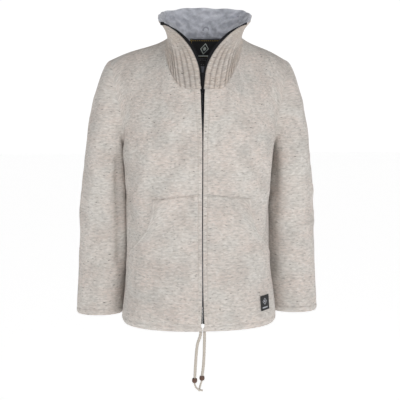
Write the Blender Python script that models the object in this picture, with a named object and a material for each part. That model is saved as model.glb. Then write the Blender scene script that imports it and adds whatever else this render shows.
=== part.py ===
"""A worn, hollow zip cardigan in melange wool-blend knit, with a ribbed stand collar.

Metres, +Z up. The wearer's front faces -Y, and "left" is the side at -X. The origin is the middle of
the neck opening, level with the high points of the shoulders. Every cloth piece is a grid of points
on its outer face, which a second grid, moved in by the cloth's thickness, turns into a wall.
"""

import math

import bpy
import numpy as np

# Body levels and the cloth
HEM_Z = -0.725
WALL = 0.003
HEM_TURN = 0.0015
COLLAR_WALL = 0.0025
COLLAR_HEIGHTS = (0.0, 0.14, 0.30, 0.46, 0.62, 0.79, 1.0)
RIB_RISE = (0.5, 1.0, 1.0, 0.9, 0.3, 0.15, 0.0)
RIB_HEIGHT = 0.0015
RIBS = 54
POINTS_PER_RIB = 3
LINING_WALL = 0.0015
LINING_GAP = 0.0014
LINING_FIRST_COLUMN = 3
LINING_STEP = 3
LINING_LOW_SHARE = 0.30
LINING_TOP_SHARE = 0.12
COLLAR_RECESS = 0.0011
POCKET_WALL = 0.0015
POCKET_LIFT = 0.0024
SEAM_GAP = 0.0003
RING_POWER = 2.3

# The collar leans and turns a little to +X on the body, as it is worn
NECK_SHIFT = 0.016
NECK_TURN = 0.10

# Body sections from the hem to the chest: level, half width, depth to the front, depth to the back
BODY_SECTIONS = (
    ("z", "half_width", "front", "back"),
    (-0.725, 0.1930, 0.1385, 0.1330),
    (-0.716, 0.1970, 0.1425, 0.1370),
    (-0.690, 0.1955, 0.1440, 0.1370),
    (-0.630, 0.1885, 0.1395, 0.1300),
    (-0.560, 0.1810, 0.1345, 0.1210),
    (-0.470, 0.1790, 0.1315, 0.1165),
    (-0.380, 0.1820, 0.1345, 0.1220),
    (-0.275, 0.1900, 0.1400, 0.1300),
)
BODY_LEVELS = (-0.725, -0.718, -0.711, -0.690, -0.650, -0.610, -0.570, -0.530, -0.490, -0.450, -0.410,
               -0.365, -0.320, -0.275)
UPPER_ROWS = 9

# Half the gap between the two front edges, by level
FRONT_EDGE = (
    ("z", "half_gap"),
    (-0.725, 0.0004),
    (-0.718, 0.0008),
    (-0.711, 0.0042),
    (-0.690, 0.0026),
    (-0.650, 0.0013),
    (-0.610, 0.0011),
    (-0.240, 0.0011),
    (-0.200, 0.0020),
    (-0.131, 0.0033),
)

# Collar sections from the front edge to the middle of the back, each from its seam to its top edge
COLLAR_SECTIONS = (
    ("place", "seam", "low", "middle", "high", "top"),
    ("zip edge", (0.0033, -0.1310, -0.1310), (0.0100, -0.1240, -0.0800), (0.0310, -0.1120, -0.0360),
     (0.0660, -0.0960, 0.0020), (0.1075, -0.0780, 0.0260)),
    ("corner", (0.0470, -0.1250, -0.1305), (0.0520, -0.1190, -0.0960), (0.0620, -0.1055, -0.0460),
     (0.0840, -0.0870, -0.0010), (0.1120, -0.0620, 0.0310)),
    ("low side", (0.0655, -0.1150, -0.1090), (0.0690, -0.1070, -0.0790), (0.0780, -0.0915, -0.0370),
     (0.0930, -0.0730, 0.0040), (0.1140, -0.0490, 0.0345)),
    ("side", (0.0790, -0.1010, -0.0830), (0.0795, -0.0925, -0.0580), (0.0860, -0.0750, -0.0240),
     (0.0975, -0.0570, 0.0110), (0.1155, -0.0360, 0.0380)),
    ("high side", (0.0950, -0.0530, -0.0330), (0.0890, -0.0510, -0.0180), (0.0895, -0.0440, 0.0000),
     (0.1000, -0.0330, 0.0205), (0.1170, -0.0170, 0.0420)),
    ("shoulder", (0.0840, 0.0040, 0.0000), (0.0850, 0.0040, 0.0080), (0.0925, 0.0050, 0.0180),
     (0.1050, 0.0080, 0.0320), (0.1160, 0.0120, 0.0470)),
    ("back side", (0.0620, 0.0540, -0.0010), (0.0665, 0.0580, 0.0120), (0.0760, 0.0620, 0.0290),
     (0.0880, 0.0640, 0.0460), (0.0960, 0.0640, 0.0620)),
    ("back", (0.0000, 0.0780, 0.0020), (0.0000, 0.0830, 0.0190), (0.0000, 0.0880, 0.0370),
     (0.0000, 0.0925, 0.0550), (0.0000, 0.0960, 0.0730)),
)
BACK_PLACE = 7

# Points of the shoulder seam, from the neck to the top of the armhole
SHOULDER_SEAM = (
    (0.0840, 0.0040, 0.0000),
    (0.1180, 0.0040, -0.0195),
    (0.1774, 0.0030, -0.0405),
    (0.2220, 0.0000, -0.0620),
)
SHOULDER_COLUMNS = 6

# Where each column of a panel leaves the chest line, and how it swings up to its seam
FRONT_COLUMNS = (
    ("chest_share", "leaves_x", "leaves_y", "leaves_z", "arrives_x", "arrives_y", "arrives_z"),
    (0.00, 0.000, 0.000, 0.050, 0.000, -0.005, -0.048),
    (0.15, 0.000, 0.000, 0.052, 0.000, -0.010, -0.046),
    (0.27, 0.000, 0.000, 0.070, 0.003, -0.030, -0.055),
    (0.40, 0.000, 0.000, 0.100, 0.008, -0.050, -0.050),
    (0.52, 0.000, 0.000, 0.120, 0.010, -0.062, -0.020),
    (0.76, -0.002, -0.012, 0.112, 0.000, -0.066, -0.012),
    (1.00, -0.010, -0.075, 0.013, -0.004, -0.075, -0.013),
)
BACK_COLUMNS = (
    ("chest_share", "leaves_x", "leaves_y", "leaves_z", "arrives_x", "arrives_y", "arrives_z"),
    (0.00, 0.000, 0.000, 0.100, 0.000, 0.035, -0.075),
    (0.25, 0.000, 0.000, 0.110, 0.006, 0.050, -0.055),
    (0.45, 0.000, 0.000, 0.125, 0.010, 0.062, -0.020),
    (0.72, -0.002, 0.012, 0.110, 0.000, 0.062, -0.012),
    (1.00, -0.008, 0.065, 0.020, -0.004, 0.065, -0.020),
)
FRONT_NECK_SHARES = (0.00, 0.06, 0.11, 0.15, 0.19, 0.27, 0.34, 0.42, 0.52)
FRONT_NECK_PLACES = (0.0, 0.5, 1.0, 1.45, 2.0, 3.0, 3.6, 4.2, 5.0)
BACK_NECK_SHARES = (0.00, 0.09, 0.18, 0.27, 0.36, 0.45)
BACK_NECK_PLACES = (7.0, 6.6, 6.2, 5.8, 5.4, 5.0)

# Sleeve sections below the cap: level, outer and inner side, middle of its depth, half depth
SLEEVE_SECTIONS = (
    ("z", "outer", "inner", "middle_y", "half_depth"),
    (-0.320, 0.2905, 0.1900, 0.0310, 0.0700),
    (-0.420, 0.2995, 0.1810, 0.0410, 0.0660),
    (-0.487, 0.3040, 0.1775, 0.0440, 0.0630),
    (-0.560, 0.3080, 0.1795, 0.0460, 0.0590),
    (-0.630, 0.3120, 0.1870, 0.0470, 0.0530),
    (-0.690, 0.3155, 0.1950, 0.0460, 0.0465),
    (-0.706, 0.3155, 0.1970, 0.0455, 0.0450),
    (-0.713, 0.3135, 0.1990, 0.0455, 0.0430),
)
CAP_ROWS = 6
SLEEVE_LEVELS = (-0.320, -0.360, -0.400, -0.440, -0.480, -0.520, -0.560, -0.600, -0.640, -0.675, -0.700,
                 -0.713)

# The largest folds, as soft troughs along a line: its two ends, half width and depth
FOLDS = (
    ("start", "end", "width", "depth"),
    ((-0.030, -0.134, -0.245), (-0.125, -0.118, -0.365), 0.020, 0.0050),
    ((-0.020, -0.132, -0.390), (-0.100, -0.118, -0.480), 0.018, 0.0035),
    ((0.110, -0.118, -0.270), (0.165, -0.085, -0.350), 0.020, 0.0045),
    ((-0.172, -0.060, -0.480), (-0.182, -0.030, -0.400), 0.020, 0.0035),
    ((0.172, -0.060, -0.500), (0.182, -0.030, -0.430), 0.020, 0.0035),
    ((-0.205, -0.050, -0.150), (-0.165, -0.105, -0.270), 0.020, 0.0045),
    ((0.205, -0.050, -0.160), (0.160, -0.108, -0.260), 0.020, 0.0045),
    ((0.080, 0.118, -0.200), (0.158, 0.086, -0.320), 0.024, 0.0050),
    ((-0.070, 0.120, -0.210), (-0.154, 0.087, -0.335), 0.024, 0.0050),
    ((-0.130, 0.090, -0.470), (0.060, 0.115, -0.520), 0.026, 0.0055),
    ((0.150, 0.085, -0.440), (0.020, 0.118, -0.400), 0.024, 0.0040),
    ((-0.300, 0.010, -0.440), (-0.235, -0.022, -0.500), 0.018, 0.0045),
    ((0.300, 0.020, -0.430), (0.240, -0.020, -0.480), 0.018, 0.0045),
    ((-0.262, -0.010, -0.190), (-0.225, -0.038, -0.290), 0.018, 0.0045),
    ((0.262, -0.012, -0.200), (0.226, -0.038, -0.300), 0.018, 0.0045),
    ((0.300, 0.060, -0.380), (0.240, 0.108, -0.460), 0.020, 0.0050),
    ((-0.300, 0.060, -0.400), (-0.240, 0.108, -0.470), 0.020, 0.0050),
)

FOLD_FREE = 0.016
FOLD_FULL = 0.045
SEAM_FADE = (0.0, 0.1, 0.6)

# Pocket: an applied panel over the lower front, open along its slanted mouth
POCKET_TOP = (-0.385, -0.12)
POCKET_MOUTH = (
    ("z", "x"),
    (-0.560, 0.1775),
    (-0.540, 0.1740),
    (-0.518, 0.1610),
    (-0.500, 0.1480),
    (-0.4755, 0.1340),
    (-0.456, 0.1270),
    (-0.431, 0.1220),
    (-0.400, 0.1195),
)
POCKET_INNER_X = 0.011
POCKET_SIDE_INSET = 0.004
POCKET_LEVELS = (-0.704, -0.690, -0.650, -0.610, -0.570, -0.548, -0.530, -0.510, -0.490, -0.470, -0.450,
                 -0.430, -0.414)
POCKET_LIKE_ROW = 5

# Zip
TAPE_WIDTH = 0.0105
TAPE_WALL = 0.0012
TAPE_SHOWS = 0.0048
TAPE_MEETS = 0.0006
TAPE_HIDDEN_COLUMNS = 1.3
TAPE_COLLAR_HEIGHTS = (0.07, 0.14, 0.22, 0.30, 0.38, 0.46, 0.54, 0.62, 0.70, 0.79, 0.88, 0.96)
TAPE_BOTTOM = -0.705
TAPE_SEAM = -0.140
SLIDER_TOP = -0.094
SLIDER_SIZE = (0.0054, 0.0082, 0.0110)
PULL_SIZE = (0.0050, 0.0014, 0.0270)
PIVOT = (0.0, -0.1345, -0.0985)
PULL_ABOVE = 0.0005

# Labels: width, height
NECK_LABEL = (0.084, 0.049)
CARE_LABEL = (0.044, 0.020)
SIZE_TAG = (0.012, 0.009)
HEM_LABEL = (0.023, 0.037)
HEM_LABEL_PLACE = (0.1560, -0.6640)
LABEL_WALL = 0.0010
LABEL_LIFT = 0.0010
LABEL_CLEAR = 0.0010
NECK_LABEL_TOP = -0.003
HEM_LABEL_TILT = 0.05

# Hanger loop at the back of the neck
LOOP_HALF_WIDTH = 0.0095
LOOP_LOW = 0.006
LOOP_HIGH = 0.028
LOOP_TAPE = 0.0045
LOOP_WALL = 0.0014
LOOP_DEPTH = 0.0083

# The drawstring's two free ends, a wooden bead on each, and the tail below it
CORD_DIAMETER = 0.0076
TAIL_DIAMETER = 0.0048
BEAD_RADIUS = 0.0066
BEAD_HALF_HEIGHT = 0.0058
BEAD_FLAT_RADIUS = 0.0042
CORD_STEP = 0.010
TAIL_STEP = 0.006
CORD_ROUTES = (
    ("side", "route", "bead", "tail"),
    ("left", ((-0.0045, -0.1363, -0.7256), (-0.0060, -0.1366, -0.7350), (-0.0125, -0.1380, -0.7540),
              (-0.0160, -0.1382, -0.7820), (-0.0180, -0.1382, -0.8115), (-0.0196, -0.1382, -0.8400)),
     (-0.0200, -0.1382, -0.8465),
     ((-0.0201, -0.1382, -0.8530), (-0.0190, -0.1384, -0.8600), (-0.0150, -0.1387, -0.8665),
      (-0.0085, -0.1391, -0.8705), (0.0000, -0.1394, -0.8725))),
    ("right", ((0.0045, -0.1363, -0.7256), (0.0046, -0.1366, -0.7380), (0.0040, -0.1380, -0.7600),
               (0.0030, -0.1382, -0.7900), (0.0012, -0.1382, -0.8150), (-0.0012, -0.1382, -0.8345)),
     (-0.0018, -0.1382, -0.8410),
     ((-0.0024, -0.1382, -0.8475), (-0.0040, -0.1372, -0.8540), (-0.0058, -0.1345, -0.8610),
      (-0.0072, -0.1325, -0.8680), (-0.0085, -0.1315, -0.8760))),
)

COLOURS = {
    "knit": (0.55, 0.51, 0.46),
    "rib": (0.47, 0.41, 0.36),
    "fleece": (0.31, 0.31, 0.34),
    "tape": (0.012, 0.012, 0.014),
    "metal": (0.02, 0.02, 0.022),
    "cord": (0.50, 0.46, 0.41),
    "wood": (0.085, 0.038, 0.022),
    "label": (0.014, 0.014, 0.016),
    "care": (0.06, 0.05, 0.05),
    "tag": (0.45, 0.45, 0.46),
}


def clear_scene():
    for thing in list(bpy.data.objects):
        bpy.data.objects.remove(thing, do_unlink=True)


def columns(table):
    """The table's columns by name, as arrays."""
    return {name: np.array([row[i] for row in table[1:]], float) for i, name in enumerate(table[0])}


def spline(at, values, x):
    """A smooth curve through values, one at each of the rising places in at, read at x."""
    at = np.asarray(at, float)
    values = np.asarray(values, float)
    x = np.clip(np.asarray(x, float), at[0], at[-1])
    slopes = np.gradient(values, at, axis=0)
    i = np.clip(np.searchsorted(at, x, side="right") - 1, 0, len(at) - 2)
    width = at[i + 1] - at[i]
    t = (x - at[i]) / width
    shape = t.shape + (1,) * (values.ndim - 1)
    t = t.reshape(shape)
    width = width.reshape(shape)
    stays = values[i] * (2 * t**3 - 3 * t**2 + 1) + values[i + 1] * (3 * t**2 - 2 * t**3)
    turns = slopes[i] * (t**3 - 2 * t**2 + t) + slopes[i + 1] * (t**3 - t**2)
    return stays + turns * width


def bezier(a, b, c, d, t):
    return a * (1 - t) ** 3 + b * 3 * t * (1 - t) ** 2 + c * 3 * t**2 * (1 - t) + d * t**3


def even_places(line, shares):
    """Points at the given shares of a polyline's length."""
    steps = np.linalg.norm(np.diff(line, axis=0), axis=1)
    run = np.concatenate([[0.0], np.cumsum(steps)])
    return np.stack([np.interp(np.asarray(shares) * run[-1], run, line[:, k]) for k in range(3)], axis=1)


def smooth_step(x, low, high):
    t = np.clip((x - low) / (high - low), 0, 1)
    return t * t * (3 - 2 * t)


def body_quarter(z, to_front, shares):
    """Points from the centre line to the side seam, on the front or the back half of a section."""
    table = columns(BODY_SECTIONS)
    half_width = spline(table["z"], table["half_width"], z)
    depth = spline(table["z"], table["front" if to_front else "back"], z)
    turn = np.linspace(0, math.pi / 2, 97)
    x = half_width * np.abs(np.sin(turn)) ** (2 / RING_POWER)
    y = depth * np.abs(np.cos(turn)) ** (2 / RING_POWER)
    y[-1] = 0.0
    line = np.stack([x, -y if to_front else y, np.full_like(x, z)], axis=1)
    return even_places(line, shares)


def collar_net():
    """The sections of the whole collar, from the zip edge at +X round the back to the one at -X."""
    half = np.array([row[1:] for row in COLLAR_SECTIONS[1:]], float)
    other = half[-2::-1] * np.array([-1.0, 1.0, 1.0])
    return np.concatenate([half, other])


def collar_points(places, heights):
    """The collar's outer face, for places round it and heights up it, both arrays of one length."""
    net = collar_net()
    rows = np.linspace(0, 1, net.shape[1])
    across = spline(np.arange(len(net)), net, places)
    return np.stack([spline(rows, section, np.array([v]))[0] for section, v in zip(across, heights)])


def neck_seam(places):
    return collar_points(np.asarray(places, float), np.zeros(len(places)))


def shoulder_seam(shares):
    return spline(np.linspace(0, 1, len(SHOULDER_SEAM)), np.array(SHOULDER_SEAM), np.asarray(shares, float))


def half_panel(to_front):
    """One side of the front or the back at +X: rows from hem to seam, columns from centre to side."""
    neck_shares = FRONT_NECK_SHARES if to_front else BACK_NECK_SHARES
    neck_places = FRONT_NECK_PLACES if to_front else BACK_NECK_PLACES
    handles = columns(FRONT_COLUMNS if to_front else BACK_COLUMNS)
    over = np.linspace(0, 1, SHOULDER_COLUMNS + 1)[1:]
    shares = np.concatenate([neck_shares, neck_shares[-1] + (1 - neck_shares[-1]) * over])
    rows = [body_quarter(z, to_front, shares) for z in BODY_LEVELS]
    start = rows[-1]
    end = np.concatenate([neck_seam(neck_places), shoulder_seam(over)])

    def handle(way):
        along = [spline(handles["chest_share"], handles[way + axis], shares) for axis in "xyz"]
        return np.stack(along, axis=1)

    leave = start + handle("leaves_")
    arrive = end + handle("arrives_")
    for i in range(1, UPPER_ROWS + 1):
        rows.append(bezier(start, leave, arrive, end, i / UPPER_ROWS))
    return np.array(rows)


def part_front_edges(points):
    """Moves the front's first columns out to the edge of the opening, less and less away from it."""
    table = columns(FRONT_EDGE)
    gap = np.interp(points[..., 2], table["z"], table["half_gap"])
    share = np.clip(1 - points[..., 0] / 0.030, 0, 1)
    moved = points.copy()
    moved[..., 0] += np.where(points[..., 2] < 0, gap * share, 0)
    moved[-1, :, :] = points[-1, :, :]
    return moved


def sleeve_grid(armhole):
    """The sleeve at +X: rows from the armhole to the cuff, columns round it from the shoulder point."""
    count = len(armhole)
    turn = 2 * math.pi * np.arange(count) / count
    outward = (1 + np.cos(turn)) / 2
    under = 1 - outward
    flank = np.sin(turn)
    table = columns(SLEEVE_SECTIONS)

    def ring(z):
        outer = spline(table["z"][::-1], table["outer"][::-1], z)
        inner = spline(table["z"][::-1], table["inner"][::-1], z)
        middle_y = spline(table["z"][::-1], table["middle_y"][::-1], z)
        half_depth = spline(table["z"][::-1], table["half_depth"][::-1], z)
        x = (outer + inner) / 2 + (outer - inner) / 2 * np.cos(turn)
        y = middle_y - half_depth * flank
        return np.stack([x, y, np.full(count, z)], axis=1)

    first = ring(SLEEVE_LEVELS[0])
    leave = armhole + np.stack([
        0.012 + 0.018 * outward + 0.011 * flank**2,
        0.010 * under - 0.013 * flank,
        -0.010 * outward + 0.006 * under - 0.017 * flank**2,
    ], axis=1)
    lift = 0.022 + 0.048 * outward + 0.020 * flank**2
    arrive = first + np.stack([-0.004 * outward, 0 * turn, lift], axis=1)
    rows = [bezier(armhole, leave, arrive, first, i / CAP_ROWS) for i in range(CAP_ROWS)]
    rows += [ring(z) for z in SLEEVE_LEVELS]
    return np.array(rows)


def normals_of(grid, closed=False):
    """Unit normals of a grid of points, from its rows crossed with its columns."""
    up = np.gradient(grid, axis=0)
    if closed:
        across = (np.roll(grid, -1, axis=1) - np.roll(grid, 1, axis=1)) / 2
    else:
        across = np.gradient(grid, axis=1)
    normal = np.cross(across, up)
    return normal / np.linalg.norm(normal, axis=2, keepdims=True)


def share_normals(first, second):
    """Gives two rows that meet at a seam one normal where they run on smoothly, so that their walls end
    face to face. Where they meet in a sharp fold, each keeps its own."""
    alike = smooth_step(np.sum(first * second, axis=1), 0.10, 0.75)[:, None]
    both = first + second
    both /= np.maximum(np.linalg.norm(both, axis=1, keepdims=True), 1e-6)
    for row in (first, second):
        mixed = row * (1 - alike) + both * alike
        row[:] = mixed / np.linalg.norm(mixed, axis=1, keepdims=True)


def fold_depth(points, weaker):
    """How far the folds lower the cloth at each point. They die away at the stiff zip edges, and in the
    parts of the grid beside a seam that weaker names, each with the share that stays."""
    depth = np.zeros(points.shape[:-1])
    for start, end, width, deep in FOLDS[1:]:
        a = np.array(start)
        run = np.array(end) - a
        t = np.clip((points - a) @ run / (run @ run), 0, 1)
        away = np.linalg.norm(points - a - t[..., None] * run, axis=-1)
        depth -= deep * np.exp(-((away / width) ** 2))
        depth += 0.55 * deep * np.exp(-(((away - 2.0 * width) / width) ** 2))
    in_front = points[..., 1] < 0
    depth *= np.where(in_front, smooth_step(np.abs(points[..., 0]), FOLD_FREE, FOLD_FULL), 1)
    for where, share in weaker:
        depth[where] *= share
    return depth


def lean(points):
    """Leans the neck over and turns it, as the cardigan is worn."""
    x, y, z = points[..., 0], points[..., 1], points[..., 2]
    amount = smooth_step(z, -0.120, 0.000) * (1 - smooth_step(np.abs(x), 0.120, 0.240))
    moved = points.copy()
    moved[..., 0] = x + amount * (NECK_SHIFT + NECK_TURN * y)
    return moved


def recede(grid, edges, by=SEAM_GAP * 0.6):
    """Draws the named edges of a grid in by a little, square to each edge, so that neighbours don't touch."""
    out = grid.copy()
    for edge in edges:
        first, second = {
            "low": (np.s_[0], np.s_[1]),
            "high": (np.s_[-1], np.s_[-2]),
            "near": (np.s_[:, 0], np.s_[:, 1]),
            "far": (np.s_[:, -1], np.s_[:, -2]),
        }[edge]
        step = grid[second] - grid[first]
        along = np.gradient(grid[first], axis=0)
        along /= np.linalg.norm(along, axis=1, keepdims=True)
        step = step - along * np.sum(step * along, axis=1, keepdims=True)
        out[first] += by * step / np.linalg.norm(step, axis=1, keepdims=True)
    return out


def material(name, kind, roughness=0.9, metallic=0.0):
    made = bpy.data.materials.new(name)
    made.use_nodes = True
    shader = made.node_tree.nodes["Principled BSDF"]
    shader.inputs["Base Color"].default_value = (*COLOURS[kind], 1.0)
    shader.inputs["Roughness"].default_value = roughness
    shader.inputs["Metallic"].default_value = metallic
    return made


def mesh_object(name, points, faces, kind, roughness=0.9, metallic=0.0):
    mesh = bpy.data.meshes.new(name)
    mesh.from_pydata([tuple(p) for p in points], [], faces)
    mesh.shade_smooth()
    mesh.set_sharp_from_angle(angle=math.radians(50))
    mesh.materials.append(material(name, kind, roughness, metallic))
    thing = bpy.data.objects.new(name, mesh)
    bpy.context.scene.collection.objects.link(thing)
    return thing


def wall_object(name, outer, inner, kind, closed=False, roughness=0.9):
    """A closed wall between two grids whose columns run to the right, seen from outside. The diagonals
    of its cells mirror each other on the garment's two sides."""
    rows, cols = outer.shape[:2]
    points = np.concatenate([outer.reshape(-1, 3), inner.reshape(-1, 3)])
    half = rows * cols
    spans = cols if closed else cols - 1
    faces = []

    def cell(a, b, c, d):
        if points[a, 0] < 0:
            a, b, c, d = b, c, d, a
        faces.extend([(a, b, c), (a, c, d)])

    for i in range(rows - 1):
        for j in range(spans):
            k = (j + 1) % cols
            low, high = i * cols, (i + 1) * cols
            cell(low + j, low + k, high + k, high + j)
            cell(half + low + k, half + low + j, half + high + j, half + high + k)
    for j in range(spans):
        k = (j + 1) % cols
        top = (rows - 1) * cols
        cell(j, half + j, half + k, k)
        cell(top + j, top + k, half + top + k, half + top + j)
    if not closed:
        for i in range(rows - 1):
            low, high = i * cols, (i + 1) * cols
            cell(low, high, half + high, half + low)
            low, high = low + cols - 1, high + cols - 1
            cell(high, low, half + low, half + high)
    return mesh_object(name, points, faces, kind, roughness)


def mirror(points, side):
    return points * np.array([float(side), 1.0, 1.0])


def turned(points, normals, side):
    """A grid at +X taken to one side, with its columns still running to the right from outside."""
    points = mirror(points, side)
    normals = mirror(normals, side)
    if side < 0:
        return points[:, ::-1], normals[:, ::-1]
    return points, normals


def turn_in(levels_from_edge):
    """Extra thickness of a turned-up edge, by the row's distance from it."""
    return HEM_TURN * (1 - smooth_step(levels_from_edge, 0.016, 0.024))


def face_at(grid, x, z):
    """The depth of a panel's faceted outer face at places given across and up it."""
    columns_up = sorted(np.swapaxes(grid, 0, 1), key=lambda column: column[0, 0])
    xs = np.stack([np.interp(z, column[:, 2], column[:, 0]) for column in columns_up], axis=-1)
    ys = np.stack([np.interp(z, column[:, 2], column[:, 1]) for column in columns_up], axis=-1)
    depth = np.empty_like(x)
    for place in np.ndindex(x.shape):
        depth[place] = np.interp(x[place], xs[place], ys[place])
    return depth


def make_torso_and_sleeves():
    """The two fronts, the back and the sleeves. Returns the outer faces that smaller pieces lie on."""
    faces = {}
    front = part_front_edges(half_panel(True))
    back = half_panel(False)
    chest = len(BODY_LEVELS) - 1
    front_hole = front[chest:, -1][::-1]
    back_hole = back[chest:, -1]
    sleeve = sleeve_grid(np.concatenate([front_hole, back_hole[1:-1]]))

    front_out = normals_of(front)
    back_out = -normals_of(back)
    sleeve_out = normals_of(sleeve, closed=True)
    if (sleeve_out[8, 0] @ np.array([1.0, 0.0, 0.0])) < 0:
        sleeve_out = -sleeve_out
    front_out[:, 0, 0] = 0.0
    back_out[:, 0, 0] = 0.0
    for out in (front_out, back_out):
        out /= np.linalg.norm(out, axis=2, keepdims=True)

    share_normals(front_out[:chest, -1], back_out[:chest, -1])
    neck_front = len(FRONT_NECK_SHARES) - 1
    neck_back = len(BACK_NECK_SHARES) - 1
    share_normals(front_out[-1, neck_front:], back_out[-1, neck_back:])
    steps = UPPER_ROWS
    share_normals(front_out[chest + 1:-1, -1], sleeve_out[0, 1:steps][::-1])
    share_normals(back_out[chest + 1:-1, -1], sleeve_out[0, steps + 1:])
    share_normals(front_out[-1:, -1], sleeve_out[0, :1])
    share_normals(back_out[-1:, -1], sleeve_out[0, :1])
    share_normals(front_out[-1:, -1], back_out[-1:, -1])
    share_normals(front_out[chest:chest + 1, -1], back_out[chest:chest + 1, -1])

    for side, name in ((-1, "left"), (1, "right")):
        grid, out = turned(front, front_out, side)
        weaker = [(np.s_[chest:, -1 - i if side > 0 else i], share) for i, share in enumerate(SEAM_FADE)]
        grid = grid + out * fold_depth(grid, weaker)[..., None]
        faces["front_" + name] = grid
        thick = WALL + turn_in(grid[..., 2] - HEM_Z)
        make_wall("front_" + name, grid, out, thick, ("near", "far", "high"), "knit")

    right, right_out = mirror(back, 1), back_out
    whole = np.concatenate([right[:, ::-1], mirror(back, -1)[:, 1:]], axis=1)
    whole_out = np.concatenate([right_out[:, ::-1], mirror(back_out, -1)[:, 1:]], axis=1)
    weaker = [(np.s_[chest:, [i, -1 - i]], share) for i, share in enumerate(SEAM_FADE)]
    whole = whole + whole_out * fold_depth(whole, weaker)[..., None]
    faces["back"] = whole
    thick = WALL + turn_in(whole[..., 2] - HEM_Z)
    make_wall("back", whole, whole_out, thick, ("near", "far", "high"), "knit")

    for side, name in ((-1, "left"), (1, "right")):
        grid = mirror(sleeve, side)
        out = mirror(sleeve_out, side)
        if side > 0:
            grid, out = grid[:, ::-1], out[:, ::-1]
        grid = grid + out * fold_depth(grid, list(enumerate(SEAM_FADE)))[..., None]
        thick = WALL + turn_in(grid[..., 2] - SLEEVE_LEVELS[-1])
        outer = recede(grid, ("low",))
        inner = recede(grid - out * thick[..., None], ("low",))
        wall_object("sleeve_" + name, lean(outer)[::-1], lean(inner)[::-1], "knit", closed=True)
    return faces


def make_wall(name, grid, out, thick, edges, kind, roughness=0.9):
    outer = recede(grid, edges)
    inner = recede(grid - out * np.asarray(thick)[..., None], edges)
    return wall_object(name, lean(outer), lean(inner), kind, roughness=roughness)


def collar_grid(columns_round, heights):
    """The collar's outer face from the zip edge at +X round to the one at -X, evenly spaced low on it."""
    fine = np.linspace(0, 2 * BACK_PLACE, 281)
    low = collar_points(fine, np.full(len(fine), 0.25))
    run = np.concatenate([[0.0], np.cumsum(np.linalg.norm(np.diff(low, axis=0), axis=1))])
    places = np.interp(np.linspace(0, run[-1], columns_round + 1), run, fine)
    return np.array([collar_points(places, np.full(len(places), v)) for v in heights])


def make_collar():
    count = RIBS * POINTS_PER_RIB
    grid = collar_grid(count, COLLAR_HEIGHTS)
    out = normals_of(grid)
    phase = np.arange(count + 1) % POINTS_PER_RIB
    rib = np.where(phase == 0, 0.0, RIB_HEIGHT)
    rib[0] = rib[-1] = 0.0
    rise = np.array(RIB_RISE)
    raised = grid + out * (rise[:, None] * rib[None, :])[..., None]
    edges = ("low",)
    outer = recede(raised, edges, COLLAR_RECESS)
    inner = recede(grid - out * COLLAR_WALL, edges, COLLAR_RECESS)
    wall_object("collar", lean(outer), lean(inner), "rib")

    first = LINING_FIRST_COLUMN
    across = np.s_[:, first:count - first + 1:LINING_STEP]
    grid, out = grid[across].copy(), out[across]
    grid[0] += (grid[1] - grid[0]) * LINING_LOW_SHARE
    grid[-1] += (grid[-2] - grid[-1]) * LINING_TOP_SHARE
    outer = grid - out * (COLLAR_WALL + LINING_GAP)
    inner = grid - out * (COLLAR_WALL + LINING_GAP + LINING_WALL)
    wall_object("collar_lining", lean(outer), lean(inner), "fleece")


def make_pockets(faces):
    mouth = columns(POCKET_MOUTH)
    body = columns(BODY_SECTIONS)
    across_front = half_panel(True)[POCKET_LIKE_ROW, 1:, 0]
    share = (across_front - across_front[0]) / (across_front[-1] - across_front[0])
    x, z = [], []
    for level in POCKET_LEVELS:
        end = float(spline(body["z"], body["half_width"], level)) - POCKET_SIDE_INSET
        if level > mouth["z"][0]:
            end = min(end, float(np.interp(level, mouth["z"], mouth["x"])))
        x.append(POCKET_INNER_X + (end - POCKET_INNER_X) * share)
        z.append(np.full_like(share, level))
    x.append(POCKET_INNER_X + (mouth["x"][-1] - POCKET_INNER_X) * share)
    z.append(POCKET_TOP[0] + POCKET_TOP[1] * x[-1])
    x, z = np.array(x), np.array(z)
    for side, name in ((-1, "left"), (1, "right")):
        across = (x * side)[:, ::side]
        up = z[:, ::side]
        grid = np.stack([across, face_at(faces["front_" + name], across, up), up], axis=2)
        out = normals_of(grid)
        outer = lean(grid + out * (POCKET_LIFT + POCKET_WALL))
        wall_object("pocket_" + name, outer, lean(grid + out * POCKET_LIFT), "knit")


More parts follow.
